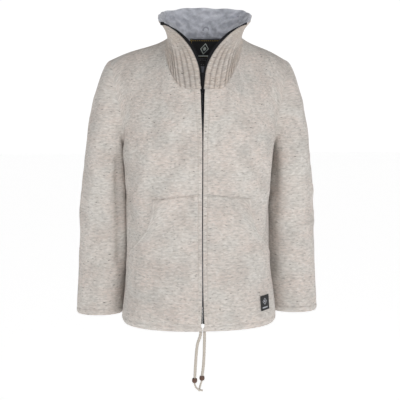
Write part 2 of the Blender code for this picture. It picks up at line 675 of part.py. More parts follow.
def make_zip_tapes(faces):
    """Each tape runs up behind its front's edge, then along the open edge of the collar."""
    collar = collar_grid(RIBS * POINTS_PER_RIB, COLLAR_HEIGHTS)
    collar_out = normals_of(collar)
    edge_heights = np.array(TAPE_COLLAR_HEIGHTS)

    def along(line):
        return np.stack([np.interp(edge_heights, COLLAR_HEIGHTS, line[:, k]) for k in range(3)], axis=1)

    at_edge, next_to, out = along(collar[:, 0]), along(collar[:, 1]), along(collar_out[:, 0])
    column = np.linalg.norm(next_to - at_edge, axis=1, keepdims=True)
    inward = (next_to - at_edge) / column
    shows = np.minimum(TAPE_SHOWS, at_edge[:, 0] - TAPE_MEETS)[:, None]
    back_face = at_edge - out * (COLLAR_WALL + 3 * SEAM_GAP)
    for side, name in ((-1, "left"), (1, "right")):
        face = mirror(faces["front_" + name], side)[:, ::side]
        rows = (face[:, 0, 2] > TAPE_BOTTOM) & (face[:, 0, 2] < TAPE_SEAM)
        edge, beside = face[rows, 0], face[rows, 1]
        behind = WALL + turn_in(edge[:, 2] - HEM_Z) + 3 * SEAM_GAP
        low = []
        for x in (TAPE_MEETS, TAPE_MEETS + TAPE_WIDTH):
            share = ((x - edge[:, 0]) / (beside[:, 0] - edge[:, 0]))[:, None]
            line = edge + (beside - edge) * np.maximum(share, 0)
            line[:, 0] = x
            line[:, 1] += behind
            low.append(line)
        shown = np.concatenate([low[0], back_face - inward * shows])
        hidden = np.concatenate([low[1], back_face + inward * column * TAPE_HIDDEN_COLUMNS])
        facing = np.concatenate([np.tile([0.0, -1.0, 0.0], (len(edge), 1)), out])
        here, away = turned(np.stack([shown, hidden], axis=1), np.stack([facing, facing], axis=1), side)
        wall_object("zip_tape_" + name, lean(here), lean(here - away * TAPE_WALL), "tape")


def make_zip_hardware():
    """The slider sits between the two front edges, and its pull tab hangs on its face."""
    width, depth, height = SLIDER_SIZE
    face = PIVOT[1] + PULL_SIZE[1] / 2 + SEAM_GAP
    build_box("zip_slider", (0.0, face + depth / 2, SLIDER_TOP - height / 2), SLIDER_SIZE, "metal", 0.0008)
    hinge = bpy.data.objects.new("pull_axis", None)
    hinge.location = PIVOT
    bpy.context.scene.collection.objects.link(hinge)
    tab = build_box("zip_pull", (0.0, 0.0, PULL_ABOVE - PULL_SIZE[2] / 2), PULL_SIZE, "metal", 0.0005)
    tab.parent = hinge


def panel_patch(name, kind, size, place, cells, read_face, tilt=0.0):
    """A label made from the points of the cloth it lies on, moved out from it."""
    across = np.linspace(-size[0] / 2, size[0] / 2, cells[0] + 1)
    up = np.linspace(-size[1] / 2, size[1] / 2, cells[1] + 1)
    grid_x, grid_z = np.meshgrid(across, up)
    x = place[0] + grid_x * math.cos(tilt) - grid_z * math.sin(tilt)
    z = place[1] + grid_x * math.sin(tilt) + grid_z * math.cos(tilt)
    points, out = read_face(x, z)
    wall_object(name, lean(points + out * LABEL_WALL), lean(points), kind)


def make_labels(faces):
    def on_pocket(x, z):
        points = np.stack([x, face_at(faces["front_right"], x, z), z], axis=2)
        out = normals_of(points)
        return points + out * (POCKET_LIFT + POCKET_WALL + LABEL_LIFT), out

    def inside_back(x, z):
        points = np.stack([x, face_at(faces["back"], x, z), z], axis=2)
        out = normals_of(points)
        return points + out * (WALL + LABEL_CLEAR), out

    top = NECK_LABEL_TOP
    for name, kind, size, cells in (
        ("neck_label", "label", NECK_LABEL, (8, 4)),
        ("care_label", "care", CARE_LABEL, (4, 3)),
        ("size_tag", "tag", SIZE_TAG, (2, 2)),
    ):
        panel_patch(name, kind, size, (0.0, top - size[1] / 2), cells, inside_back)
        top -= size[1] + 2 * SEAM_GAP
    panel_patch("hem_label", "label", HEM_LABEL, HEM_LABEL_PLACE, (4, 4), on_pocket, HEM_LABEL_TILT)


def make_hanger_loop():
    """A narrow tape whose two ends are sewn side by side into the back of the neck."""
    turn = np.linspace(0, math.pi, 13)
    leg = np.linspace(0, 1, 4)[:-1]
    middle = LOOP_HIGH - LOOP_HALF_WIDTH
    climb = LOOP_LOW + leg * (middle - LOOP_LOW)
    x = np.concatenate([0 * leg + LOOP_HALF_WIDTH, LOOP_HALF_WIDTH * np.cos(turn), 0 * leg - LOOP_HALF_WIDTH])
    z = np.concatenate([climb, middle + LOOP_HALF_WIDTH * np.sin(turn), climb[::-1]])
    share = (LOOP_HALF_WIDTH - LOOP_TAPE) / LOOP_HALF_WIDTH
    section = collar_net()[BACK_PLACE]
    edges = []
    for edge_x, edge_z in ((x, z), (x * share, np.where(z > middle, middle + (z - middle) * share, z))):
        depth = np.interp(edge_z, section[:, 2], section[:, 1]) - LOOP_DEPTH
        edges.append(np.stack([edge_x, depth, edge_z], axis=1))
    front = np.stack(edges, axis=0)
    wall_object("hanger_loop", lean(front), lean(front + np.array([0.0, LOOP_WALL, 0.0])), "fleece")


def smooth_route(route, step):
    """Points at an even step along a smooth curve through the route's own points."""
    route = np.array(route)
    run = np.concatenate([[0.0], np.cumsum(np.linalg.norm(np.diff(route, axis=0), axis=1))])
    fine = spline(run, route, np.linspace(0, run[-1], 200))
    count = max(4, round(run[-1] / step))
    return even_places(fine, np.linspace(0, 1, count + 1))


def cord_object(name, route, diameter, step):
    points = smooth_route(route, step)
    curve = bpy.data.curves.new(name, "CURVE")
    curve.dimensions = "3D"
    curve.bevel_depth = diameter / 2
    curve.bevel_resolution = 2
    curve.use_fill_caps = True
    line = curve.splines.new("POLY")
    line.points.add(len(points) - 1)
    for point, place in zip(line.points, points):
        point.co = (*place, 1.0)
    curve.materials.append(material(name, "cord"))
    thing = bpy.data.objects.new(name, curve)
    bpy.context.scene.collection.objects.link(thing)


def bead_object(name, centre):
    """A turned bead with flat ends, which the cord's two stretches meet."""
    rows, around = 7, 16
    points = []
    for i in range(rows):
        height = -BEAD_HALF_HEIGHT + 2 * BEAD_HALF_HEIGHT * i / (rows - 1)
        bulge = math.sqrt(max(0.0, 1 - (height / BEAD_HALF_HEIGHT) ** 2))
        radius = BEAD_FLAT_RADIUS + (BEAD_RADIUS - BEAD_FLAT_RADIUS) * bulge
        for j in range(around):
            turn = 2 * math.pi * j / around
            x = centre[0] + radius * math.cos(turn)
            y = centre[1] + radius * math.sin(turn)
            points.append((x, y, centre[2] + height))
    faces = [tuple(reversed(range(around))), tuple((rows - 1) * around + j for j in range(around))]
    for i in range(rows - 1):
        for j in range(around):
            k = (j + 1) % around
            faces.append((i * around + j, i * around + k, (i + 1) * around + k, (i + 1) * around + j))
    mesh_object(name, points, faces, "wood", roughness=0.4)


def make_drawstring():
    for side, route, bead, tail in CORD_ROUTES[1:]:
        cord_object("cord_" + side, route, CORD_DIAMETER, CORD_STEP)
        bead_object("bead_" + side, bead)
        cord_object("tail_" + side, tail, TAIL_DIAMETER, TAIL_STEP)


def box_points(centre, size):
    half = np.array(size) / 2
    corners = [(sx, sy, sz) for sz in (-1, 1) for sy in (-1, 1) for sx in (-1, 1)]
    return np.array(centre) + np.array(corners) * half


def build_box(name, centre, size, kind, bevel):
    points = box_points(centre, size)
    faces = [(0, 2, 3, 1), (4, 5, 7, 6), (0, 1, 5, 4), (2, 6, 7, 3), (0, 4, 6, 2), (1, 3, 7, 5)]
    thing = mesh_object(name, points, faces, kind, roughness=0.35, metallic=0.8)
    soften = thing.modifiers.new("rounded edges", "BEVEL")
    soften.width = bevel
    soften.segments = 2
    return thing


def main():
    clear_scene()
    faces = make_torso_and_sleeves()
    make_collar()
    make_pockets(faces)
    make_zip_tapes(faces)
    make_zip_hardware()
    make_labels(faces)
    make_hanger_loop()
    make_drawstring()


main()
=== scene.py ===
import math

import bpy
import numpy as np
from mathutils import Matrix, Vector


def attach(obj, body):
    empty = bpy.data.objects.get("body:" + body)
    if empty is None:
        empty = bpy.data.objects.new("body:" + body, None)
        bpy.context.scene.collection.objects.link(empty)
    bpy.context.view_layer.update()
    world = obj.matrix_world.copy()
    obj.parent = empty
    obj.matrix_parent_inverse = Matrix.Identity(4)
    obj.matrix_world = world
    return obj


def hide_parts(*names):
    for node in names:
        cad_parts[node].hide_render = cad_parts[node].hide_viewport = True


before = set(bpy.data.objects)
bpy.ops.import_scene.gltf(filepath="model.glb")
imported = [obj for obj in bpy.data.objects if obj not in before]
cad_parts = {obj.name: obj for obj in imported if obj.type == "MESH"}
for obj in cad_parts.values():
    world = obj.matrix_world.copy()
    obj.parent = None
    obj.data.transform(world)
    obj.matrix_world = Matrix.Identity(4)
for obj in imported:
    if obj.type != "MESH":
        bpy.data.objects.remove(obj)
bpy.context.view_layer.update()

# The camera stands 2.5 m away with a portrait lens, a little to the wearer's right and a little
# above the cardigan's middle.
VIEW_TARGET = Vector((0.0, 0.0, -0.415))
VIEW_DISTANCE = 2.5
VIEW_TURN = math.radians(-4.0)
VIEW_RISE = math.radians(6.5)
VIEW_SHIFT = 0.003
LENS_MM = 88.0
SENSOR_MM = 36.0

camera_data = bpy.data.cameras.new("portrait_lens")
camera_data.lens = LENS_MM
camera_data.sensor_width = SENSOR_MM
camera_data.shift_x = VIEW_SHIFT
camera = bpy.data.objects.new("camera", camera_data)
forward = Vector((
    -math.sin(VIEW_TURN) * math.cos(VIEW_RISE),
    math.cos(VIEW_TURN) * math.cos(VIEW_RISE),
    -math.sin(VIEW_RISE),
))
camera.location = VIEW_TARGET - forward * VIEW_DISTANCE
camera.rotation_euler = forward.to_track_quat("-Z", "Y").to_euler()
bpy.context.scene.collection.objects.link(camera)
bpy.context.scene.camera = camera

# The drawstring's two free ends: round braided wool cord, nearly 8 mm thick, that leaves the hem's
# tunnel on each side of the zip. Each is drawn thinner through a wooden bead and ends in a soft tail.
CORD_DIAMETER = 0.0076
TAIL_DIAMETER = 0.0048
CORD_RING_STEP = 0.0008
CORD_SIDES = 28
BRAID_LOBES = 2
BRAID_PITCH = 0.0072
BRAID_RELIEF = 0.15
CORD_ROUTES = {
    "left": {
        "cord": ((-0.0045, -0.1363, -0.7256), (-0.0060, -0.1366, -0.7350), (-0.0125, -0.1380, -0.7540),
                 (-0.0160, -0.1382, -0.7820), (-0.0180, -0.1382, -0.8115), (-0.0196, -0.1382, -0.8400)),
        "bead": (-0.0200, -0.1382, -0.8465),
        "tail": ((-0.0201, -0.1382, -0.8530), (-0.0190, -0.1384, -0.8600), (-0.0150, -0.1387, -0.8665),
                 (-0.0085, -0.1391, -0.8705), (0.0000, -0.1394, -0.8725)),
    },
    "right": {
        "cord": ((0.0045, -0.1363, -0.7256), (0.0046, -0.1366, -0.7380), (0.0040, -0.1380, -0.7600),
                 (0.0030, -0.1382, -0.7900), (0.0012, -0.1382, -0.8150), (-0.0012, -0.1382, -0.8345)),
        "bead": (-0.0018, -0.1382, -0.8410),
        "tail": ((-0.0024, -0.1382, -0.8475), (-0.0040, -0.1372, -0.8540), (-0.0058, -0.1345, -0.8610),
                 (-0.0072, -0.1325, -0.8680), (-0.0085, -0.1315, -0.8760)),
    },
}
CORD_OATMEAL = "#CFC8BE"
CORD_SHADOW = "#8D8277"


def linear(hex_colour):
    """An sRGB hex colour as the linear red, green, blue and alpha that the shaders take."""
    values = [int(hex_colour[i:i + 2], 16) / 255 for i in (1, 3, 5)]
    return [v / 12.92 if v <= 0.04045 else ((v + 0.055) / 1.055) ** 2.4 for v in values] + [1.0]


def add_node(material, kind, sockets=None, **settings):
    """Adds a shader node. Its sockets are given by name or number, as values or as sockets to link."""
    tree = material.node_tree
    made = tree.nodes.new("ShaderNode" + kind)
    for name, value in settings.items():
        setattr(made, name, value)
    for key, value in (sockets or {}).items():
        if isinstance(value, bpy.types.NodeSocket):
            tree.links.new(value, made.inputs[key])
        else:
            made.inputs[key].default_value = value
    return made


def new_material(name, roughness, sheen=0.0, metallic=0.0):
    """A material with its shader, whose even values are set on the shader's own sockets."""
    material = bpy.data.materials.new(name)
    material.use_nodes = True
    shader = material.node_tree.nodes["Principled BSDF"]
    shader.inputs["Roughness"].default_value = roughness
    shader.inputs["Metallic"].default_value = metallic
    shader.inputs["Sheen Weight"].default_value = sheen
    shader.inputs["Sheen Roughness"].default_value = 0.55
    return material, shader


def math_node(material, operation, *values):
    """One sum worked out in the shader, from numbers or from sockets."""
    return add_node(material, "Math", dict(enumerate(values)), operation=operation).outputs[0]


def dress(material, shader, colour=None, height=None, strength=0.0, distance=0.0):
    """Links a colour to the material's shader, and a height as its fine relief."""
    if colour is not None:
        material.node_tree.links.new(colour, shader.inputs["Base Color"])
    if height is not None:
        bump = add_node(material, "Bump", {"Height": height, "Strength": strength, "Distance": distance})
        material.node_tree.links.new(bump.outputs[0], shader.inputs["Normal"])


def mixed(material, factor, first, second):
    """One colour over another, by a factor."""
    sockets = {0: factor, 6: first, 7: second}
    return add_node(material, "Mix", sockets, data_type="RGBA").outputs[2]


def spots(material, u, v, per_mm, seed, low, high, detail=1.0):
    """0 to 1 where a noise, so many to the millimetre each way, rises from low to high."""
    place = add_node(material, "CombineXYZ", {
        0: math_node(material, "MULTIPLY", u, per_mm[0]),
        1: math_node(material, "MULTIPLY", v, per_mm[1]),
        2: seed,
    })
    noise = add_node(material, "TexNoise", {"Vector": place.outputs[0], "Scale": 1.0, "Detail": detail})
    return add_node(material, "MapRange", {0: noise.outputs[0], 1: low, 2: high}).outputs[0]


def cut_places(material):
    """Millimetres across and up the piece, as it was cut."""
    cut = add_node(material, "UVMap", uv_map="cut")
    split = add_node(material, "SeparateXYZ", {0: cut.outputs[0]})
    return split.outputs[0], split.outputs[1]


def spline(at, values, x):
    """A smooth curve through values, one at each of the rising places in at, read at x."""
    at = np.asarray(at, float)
    values = np.asarray(values, float)
    x = np.clip(np.asarray(x, float), at[0], at[-1])
    slopes = np.gradient(values, at, axis=0)
    i = np.clip(np.searchsorted(at, x, side="right") - 1, 0, len(at) - 2)
    width = at[i + 1] - at[i]
    t = (x - at[i]) / width
    shape = t.shape + (1,) * (values.ndim - 1)
    t = t.reshape(shape)
    width = width.reshape(shape)
    stays = values[i] * (2 * t**3 - 3 * t**2 + 1) + values[i + 1] * (3 * t**2 - 2 * t**3)
    turns = slopes[i] * (t**3 - 2 * t**2 + t) + slopes[i + 1] * (t**3 - t**2)
    return stays + turns * width


def run_along(line):
    """How far along a line each of its points lies."""
    return np.concatenate([[0.0], np.cumsum(np.linalg.norm(np.diff(line, axis=0), axis=1))])


def even_places(line, shares):
    """Points at the given shares of a line's length."""
    run = run_along(line)
    return np.stack([np.interp(np.asarray(shares) * run[-1], run, line[:, k]) for k in range(3)], axis=1)


def smooth_step(x, low, high):
    """0 below low, 1 above high and a smooth rise between them."""
    t = np.clip((x - low) / (high - low), 0, 1)
    return t * t * (3 - 2 * t)


def unit(vectors):
    """The same directions, each one long."""
    return vectors / np.maximum(np.linalg.norm(vectors, axis=-1, keepdims=True), 1e-12)


def make_piece(name, points, faces, materials, cut=None, face_materials=None):
    """A smooth mesh piece. cut gives each point's place on the flat piece, in millimetres."""
    mesh = bpy.data.meshes.new(name)
    mesh.from_pydata([tuple(p) for p in points], [], [tuple(int(i) for i in f) for f in faces])
    mesh.shade_smooth()
    for material in materials:
        mesh.materials.append(material)
    if face_materials is not None:
        mesh.polygons.foreach_set("material_index", np.asarray(face_materials, np.int32))
    if cut is not None:
        corner = np.empty(len(mesh.loops), np.int32)
        mesh.loops.foreach_get("vertex_index", corner)
        layer = mesh.uv_layers.new(name="cut")
        layer.data.foreach_set("uv", np.asarray(cut, np.float32)[corner].ravel())
    mesh.update()
    piece = bpy.data.objects.new(name, mesh)
    bpy.context.scene.collection.objects.link(piece)
    return piece


def side_frames(line):
    """Two directions square to a line at each point, carried along it with no twist."""
    along = unit(np.gradient(line, axis=0))
    first = unit(np.cross(along[0], [0.0, 1.0, 0.0]))
    sides = [first]
    for direction in along[1:]:
        last = sides[-1]
        sides.append(unit(last - direction * (last @ direction)))
    sides = np.array(sides)
    return sides, np.cross(along, sides)


def make_tube(name, line, radius, sides, relief, materials):
    """A closed tube along a line, with relief as a share of its radius, by angle and run."""
    first, second = side_frames(line)
    run = run_along(line)
    turn = 2 * math.pi * np.arange(sides) / sides
    reach = radius[:, None] * (1 + relief(turn[None, :], run[:, None]))
    ring = line[:, None] + reach[..., None] * (
        np.cos(turn)[None, :, None] * first[:, None] + np.sin(turn)[None, :, None] * second[:, None])
    points = ring.reshape(-1, 3)
    count = len(line)
    i, j = np.meshgrid(np.arange(count - 1), np.arange(sides), indexing="ij")
    k = (j + 1) % sides
    faces = np.stack([i * sides + j, i * sides + k, (i + 1) * sides + k, (i + 1) * sides + j], axis=-1)
    faces = [list(f) for f in faces.reshape(-1, 4)]
    faces += [list(range(sides))[::-1], list(range((count - 1) * sides, count * sides))]
    cut = np.stack(np.broadcast_arrays(turn[None, :] * radius.max() * 1000, run[:, None] * 1000), axis=-1)
    return make_piece(name, points, faces, materials, cut.reshape(-1, 2))


def braid(turn, run):
    """Raised strands that cross each other both ways round the cord."""
    climb = math.pi * run / BRAID_PITCH
    there = np.cos(BRAID_LOBES * turn + climb) ** 2
    back = np.cos(BRAID_LOBES * turn - climb) ** 2
    return BRAID_RELIEF * (np.maximum(there, back) - 1)


# Braided wool: the same undyed yarn as the knit, dull and a little hairy, darker between the strands.
braided_wool, shader = new_material("braided_wool", 0.9, sheen=0.25)
u, v = cut_places(braided_wool)
shade = spots(braided_wool, u, v, (0.5, 0.9), 3.0, 0.35, 0.75, detail=3.0)
colour = mixed(braided_wool, shade, linear(CORD_OATMEAL), linear(CORD_SHADOW))
hair = spots(braided_wool, u, v, (2.5, 2.5), 8.0, 0.0, 1.0, detail=3.0)
dress(braided_wool, shader, colour, hair, strength=0.4, distance=0.0004)

cords = {}
for side, route in CORD_ROUTES.items():
    line = np.array([*route["cord"], route["bead"], *route["tail"]])
    run = run_along(line)
    fine = spline(run, line, np.linspace(0, run[-1], 600))
    rings = round(run_along(fine)[-1] / CORD_RING_STEP)
    line = even_places(fine, np.linspace(0, 1, rings + 1))
    above_bead = line[:, 2] - route["bead"][2]
    thin = 1 - smooth_step(above_bead, 0.001, 0.010)
    radius = CORD_DIAMETER / 2 + (TAIL_DIAMETER - CORD_DIAMETER) / 2 * thin
    piece = make_tube("drawstring_" + side, line, radius, CORD_SIDES, braid, [braided_wool])
    cords[side] = (piece, line)

# Wooden beads, turned from a dark hardwood and waxed, one threaded on each end of the drawstring.
BEAD_RADIUS = 0.0066
BEAD_HALF_HEIGHT = 0.0058
BEAD_HOLE = 0.0027
BEAD_LIP = 0.0008
BEAD_HOLE_END = 0.0046
BEAD_SIDES = 48
WOOD_DARK = "#3B241A"
WOOD_LIGHT = "#6A4631"

# Waxed hardwood: fine growth lines run down the bead, with a soft gloss over them.
waxed_wood, shader = new_material("waxed_hardwood", 0.38)
shader.inputs["Coat Weight"].default_value = 0.25
shader.inputs["Coat Roughness"].default_value = 0.3
grain_place = add_node(waxed_wood, "TexCoord")
grain = add_node(waxed_wood, "TexWave", {
    "Vector": grain_place.outputs["Object"], "Scale": 260.0, "Distortion": 5.0, "Detail": 3.0,
}, bands_direction="X")
colour = mixed(waxed_wood, grain.outputs[1], linear(WOOD_DARK), linear(WOOD_LIGHT))
dress(waxed_wood, shader, colour)

for side, route in CORD_ROUTES.items():
    swing = np.linspace(-math.pi / 2, math.pi / 2, 20)
    outside = np.stack([BEAD_HOLE + BEAD_LIP + (BEAD_RADIUS - BEAD_HOLE - BEAD_LIP) * np.cos(swing) ** 0.8,
                        BEAD_HALF_HEIGHT * np.sin(swing)], axis=1)
    inside = np.array([[BEAD_HOLE, BEAD_HOLE_END], [BEAD_HOLE, 0.0], [BEAD_HOLE, -BEAD_HOLE_END]])
    profile = np.concatenate([outside, inside])
    turn = 2 * math.pi * np.arange(BEAD_SIDES) / BEAD_SIDES
    points = np.stack([
        np.outer(profile[:, 0], np.cos(turn)),
        np.outer(profile[:, 0], np.sin(turn)),
        np.outer(profile[:, 1], np.ones(BEAD_SIDES)),
    ], axis=-1) + np.array(route["bead"])
    count = len(profile)
    faces = []
    for i in range(count):
        for j in range(BEAD_SIDES):
            k, n = (j + 1) % BEAD_SIDES, (i + 1) % count
            faces.append((i * BEAD_SIDES + j, i * BEAD_SIDES + k, n * BEAD_SIDES + k, n * BEAD_SIDES + j))
    bead = make_piece("bead_on_" + side + "_end", points.reshape(-1, 3), faces, [waxed_wood])
    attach(bead, "garment")
    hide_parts("bead_" + side)
    piece, line = cords[side]
    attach(piece, "garment")
    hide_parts("cord_" + side, "tail_" + side)

# The knitted panels: two fronts, a back in one piece and two set-in sleeves, cut from thick melange
# wool knit with a brushed fleece face inside. They are sewn at the shoulders, armholes and sides.
HEM_Z = -0.725
CLOTH = 0.0034
EDGE_CLOTH = 0.0016
EDGE_DEPTH = 0.017
TURNED_UP = (0.015, 0.019)
EDGE_SWELL = 0.0009
SEAM_DIP = 0.0008
SEAM_WIDTH = 0.0014
ZIP_EDGE_DEPTH = 0.0105
ROUND_EDGE = 0.0015
RING_POWER = 2.3
NECK_SHIFT = 0.016
NECK_TURN = 0.10
BODY_SECTIONS = (
    ("z", "half_width", "front", "back"),
    (-0.725, 0.1930, 0.1385, 0.1330),
    (-0.716, 0.1970, 0.1425, 0.1370),
    (-0.690, 0.1955, 0.1440, 0.1370),
    (-0.630, 0.1885, 0.1395, 0.1300),
    (-0.560, 0.1810, 0.1345, 0.1210),
    (-0.470, 0.1790, 0.1315, 0.1165),
    (-0.380, 0.1820, 0.1345, 0.1220),
    (-0.275, 0.1900, 0.1400, 0.1300),
)
FRONT_EDGE = (
    ("z", "half_gap"),
    (-0.725, 0.0004),
    (-0.718, 0.0008),
    (-0.711, 0.0042),
    (-0.690, 0.0030),
    (-0.650, 0.0018),
    (-0.610, 0.0011),
    (-0.240, 0.0011),
    (-0.200, 0.0012),
    (-0.145, 0.0015),
    (-0.131, 0.0032),
)
COLLAR_SECTIONS = (
    ("place", "seam", "low", "middle", "high", "top"),
    ("zip edge", (0.0033, -0.1310, -0.1310), (0.0100, -0.1240, -0.0800), (0.0310, -0.1120, -0.0360),
     (0.0660, -0.0960, 0.0020), (0.1075, -0.0780, 0.0260)),
    ("corner", (0.0470, -0.1250, -0.1305), (0.0520, -0.1190, -0.0960), (0.0620, -0.1055, -0.0460),
     (0.0840, -0.0870, -0.0010), (0.1120, -0.0620, 0.0310)),
    ("low side", (0.0655, -0.1150, -0.1090), (0.0690, -0.1070, -0.0790), (0.0780, -0.0915, -0.0370),
     (0.0930, -0.0730, 0.0040), (0.1140, -0.0490, 0.0345)),
    ("side", (0.0790, -0.1010, -0.0830), (0.0795, -0.0925, -0.0580), (0.0860, -0.0750, -0.0240),
     (0.0975, -0.0570, 0.0110), (0.1155, -0.0360, 0.0410)),
    ("high side", (0.0950, -0.0530, -0.0330), (0.0890, -0.0510, -0.0180), (0.0895, -0.0440, 0.0000),
     (0.1000, -0.0330, 0.0205), (0.1170, -0.0170, 0.0465)),
    ("shoulder", (0.0840, 0.0040, 0.0000), (0.0850, 0.0040, 0.0080), (0.0925, 0.0050, 0.0180),
     (0.1050, 0.0080, 0.0320), (0.1160, 0.0120, 0.0520)),
    ("back side", (0.0620, 0.0540, -0.0010), (0.0665, 0.0580, 0.0120), (0.0760, 0.0620, 0.0290),
     (0.0880, 0.0640, 0.0460), (0.0960, 0.0640, 0.0665)),
    ("back", (0.0000, 0.0780, 0.0020), (0.0000, 0.0830, 0.0190), (0.0000, 0.0880, 0.0370),
     (0.0000, 0.0925, 0.0550), (0.0000, 0.0960, 0.0755)),
)
BACK_PLACE = 7
SHOULDER_SEAM = (
    (0.0840, 0.0040, 0.0000),
    (0.1180, 0.0040, -0.0195),
    (0.1774, 0.0030, -0.0405),
    (0.2220, 0.0000, -0.0620),
)
FRONT_COLUMNS = (
    ("chest_share", "leaves_x", "leaves_y", "leaves_z", "arrives_x", "arrives_y", "arrives_z"),
    (0.00, 0.000, 0.000, 0.050, 0.000, -0.005, -0.048),
    (0.15, 0.000, 0.000, 0.052, 0.000, -0.010, -0.046),
    (0.27, 0.000, 0.000, 0.070, 0.003, -0.030, -0.055),
    (0.40, 0.000, 0.000, 0.100, 0.008, -0.050, -0.050),
    (0.52, 0.000, 0.000, 0.120, 0.010, -0.062, -0.020),
    (0.76, -0.002, -0.012, 0.112, 0.000, -0.066, -0.012),
    (1.00, -0.010, -0.075, 0.013, -0.004, -0.075, -0.013),
)
BACK_COLUMNS = (
    ("chest_share", "leaves_x", "leaves_y", "leaves_z", "arrives_x", "arrives_y", "arrives_z"),
    (0.00, 0.000, 0.000, 0.100, 0.000, 0.035, -0.075),
    (0.25, 0.000, 0.000, 0.110, 0.006, 0.050, -0.055),
    (0.45, 0.000, 0.000, 0.125, 0.010, 0.062, -0.020),
    (0.72, -0.002, 0.012, 0.110, 0.000, 0.062, -0.012),
    (1.00, -0.008, 0.065, 0.020, -0.004, 0.065, -0.020),
)
NECK_EDGES = {
    "front": ((0.00, 0.06, 0.11, 0.15, 0.19, 0.27, 0.34, 0.42, 0.52),
              (0.0, 0.5, 1.0, 1.45, 2.0, 3.0, 3.6, 4.2, 5.0)),
    "back": ((0.00, 0.09, 0.18, 0.27, 0.36, 0.45), (7.0, 6.6, 6.2, 5.8, 5.4, 5.0)),
}
SLEEVE_SECTIONS = (
    ("z", "outer", "inner", "middle_y", "half_depth"),
    (-0.320, 0.2905, 0.1900, 0.0310, 0.0700),
    (-0.420, 0.2995, 0.1810, 0.0410, 0.0660),
    (-0.487, 0.3040, 0.1775, 0.0440, 0.0630),
    (-0.560, 0.3080, 0.1795, 0.0460, 0.0590),
    (-0.630, 0.3120, 0.1870, 0.0470, 0.0530),
    (-0.690, 0.3155, 0.1950, 0.0460, 0.0465),
    (-0.706, 0.3155, 0.1970, 0.0455, 0.0450),
    (-0.713, 0.3135, 0.1990, 0.0455, 0.0430),
)
SLEEVE_TOP = -0.320
CUFF_Z = -0.713
# The creases: large ones first, then small ones at the armpits, elbows, pockets and waist
CREASES = (
    ("start", "end", "width", "depth"),
    ((-0.030, -0.134, -0.245), (-0.125, -0.118, -0.365), 0.020, 0.0050),
    ((-0.020, -0.132, -0.390), (-0.100, -0.118, -0.480), 0.018, 0.0035),
    ((0.110, -0.118, -0.270), (0.165, -0.085, -0.350), 0.020, 0.0045),
    ((-0.172, -0.060, -0.480), (-0.182, -0.030, -0.400), 0.020, 0.0035),
    ((0.172, -0.060, -0.500), (0.182, -0.030, -0.430), 0.020, 0.0035),
    ((-0.205, -0.050, -0.150), (-0.165, -0.105, -0.270), 0.020, 0.0045),
    ((0.205, -0.050, -0.160), (0.160, -0.108, -0.260), 0.020, 0.0045),
    ((0.080, 0.118, -0.200), (0.158, 0.086, -0.320), 0.024, 0.0050),
    ((-0.070, 0.120, -0.210), (-0.154, 0.087, -0.335), 0.024, 0.0050),
    ((-0.130, 0.090, -0.470), (0.060, 0.115, -0.520), 0.026, 0.0055),
    ((0.150, 0.085, -0.440), (0.020, 0.118, -0.400), 0.024, 0.0040),
    ((-0.300, 0.010, -0.440), (-0.235, -0.022, -0.500), 0.018, 0.0045),
    ((0.300, 0.020, -0.430), (0.240, -0.020, -0.480), 0.018, 0.0045),
    ((-0.262, -0.010, -0.190), (-0.225, -0.038, -0.290), 0.018, 0.0045),
    ((0.262, -0.012, -0.200), (0.226, -0.038, -0.300), 0.018, 0.0045),
    ((0.300, 0.060, -0.380), (0.240, 0.108, -0.460), 0.020, 0.0050),
    ((-0.300, 0.060, -0.400), (-0.240, 0.108, -0.470), 0.020, 0.0050),
    ((-0.185, -0.062, -0.262), (-0.120, -0.122, -0.235), 0.008, 0.0018),
    ((0.186, -0.060, -0.258), (0.130, -0.118, -0.222), 0.009, 0.0018),
    ((-0.055, -0.131, -0.300), (-0.092, -0.126, -0.352), 0.009, 0.0014),
    ((0.060, -0.134, -0.415), (0.120, -0.112, -0.378), 0.010, 0.0014),
    ((0.045, -0.133, -0.560), (0.118, -0.112, -0.520), 0.012, 0.0012),
    ((-0.040, -0.134, -0.590), (-0.112, -0.115, -0.545), 0.012, 0.0012),
    ((-0.262, -0.018, -0.362), (-0.298, 0.022, -0.330), 0.009, 0.0020),
    ((-0.232, -0.020, -0.540), (-0.286, 0.000, -0.585), 0.010, 0.0018),
    ((0.248, -0.020, -0.352), (0.292, 0.012, -0.322), 0.009, 0.0020),
    ((0.262, -0.018, -0.470), (0.304, 0.030, -0.462), 0.007, 0.0020),
    ((0.236, -0.016, -0.575), (0.290, 0.004, -0.612), 0.010, 0.0016),
    ((-0.150, 0.098, -0.300), (-0.060, 0.126, -0.268), 0.010, 0.0020),
    ((0.155, 0.094, -0.292), (0.070, 0.124, -0.262), 0.010, 0.0020),
    ((-0.060, 0.114, -0.610), (0.080, 0.118, -0.640), 0.014, 0.0016),
    ((-0.270, 0.100, -0.520), (-0.292, 0.060, -0.560), 0.010, 0.0020),
    ((0.272, 0.100, -0.505), (0.294, 0.060, -0.540), 0.010, 0.0020),
    ((-0.214, -0.020, -0.300), (-0.206, -0.006, -0.560), 0.014, 0.0050),
    ((-0.204, -0.020, -0.310), (-0.197, -0.006, -0.600), 0.009, 0.0036),
    ((0.216, -0.022, -0.310), (0.208, -0.008, -0.600), 0.015, -0.0034),
    ((-0.190, 0.018, -0.292), (-0.186, 0.022, -0.370), 0.016, -0.0022),
    ((0.190, 0.018, -0.292), (0.186, 0.022, -0.370), 0.016, -0.0022),
)
SIDE_RIPPLE = 0.55
CREASE_FREE = 0.016
CREASE_FULL = 0.045
SEAM_FADE = 0.030
RELAX_TIMES = 40
NECK_DIP = 0.0011


def columns(table):
    """The table's columns by name, as arrays."""
    return {name: np.array([row[i] for row in table[1:]], float) for i, name in enumerate(table[0])}


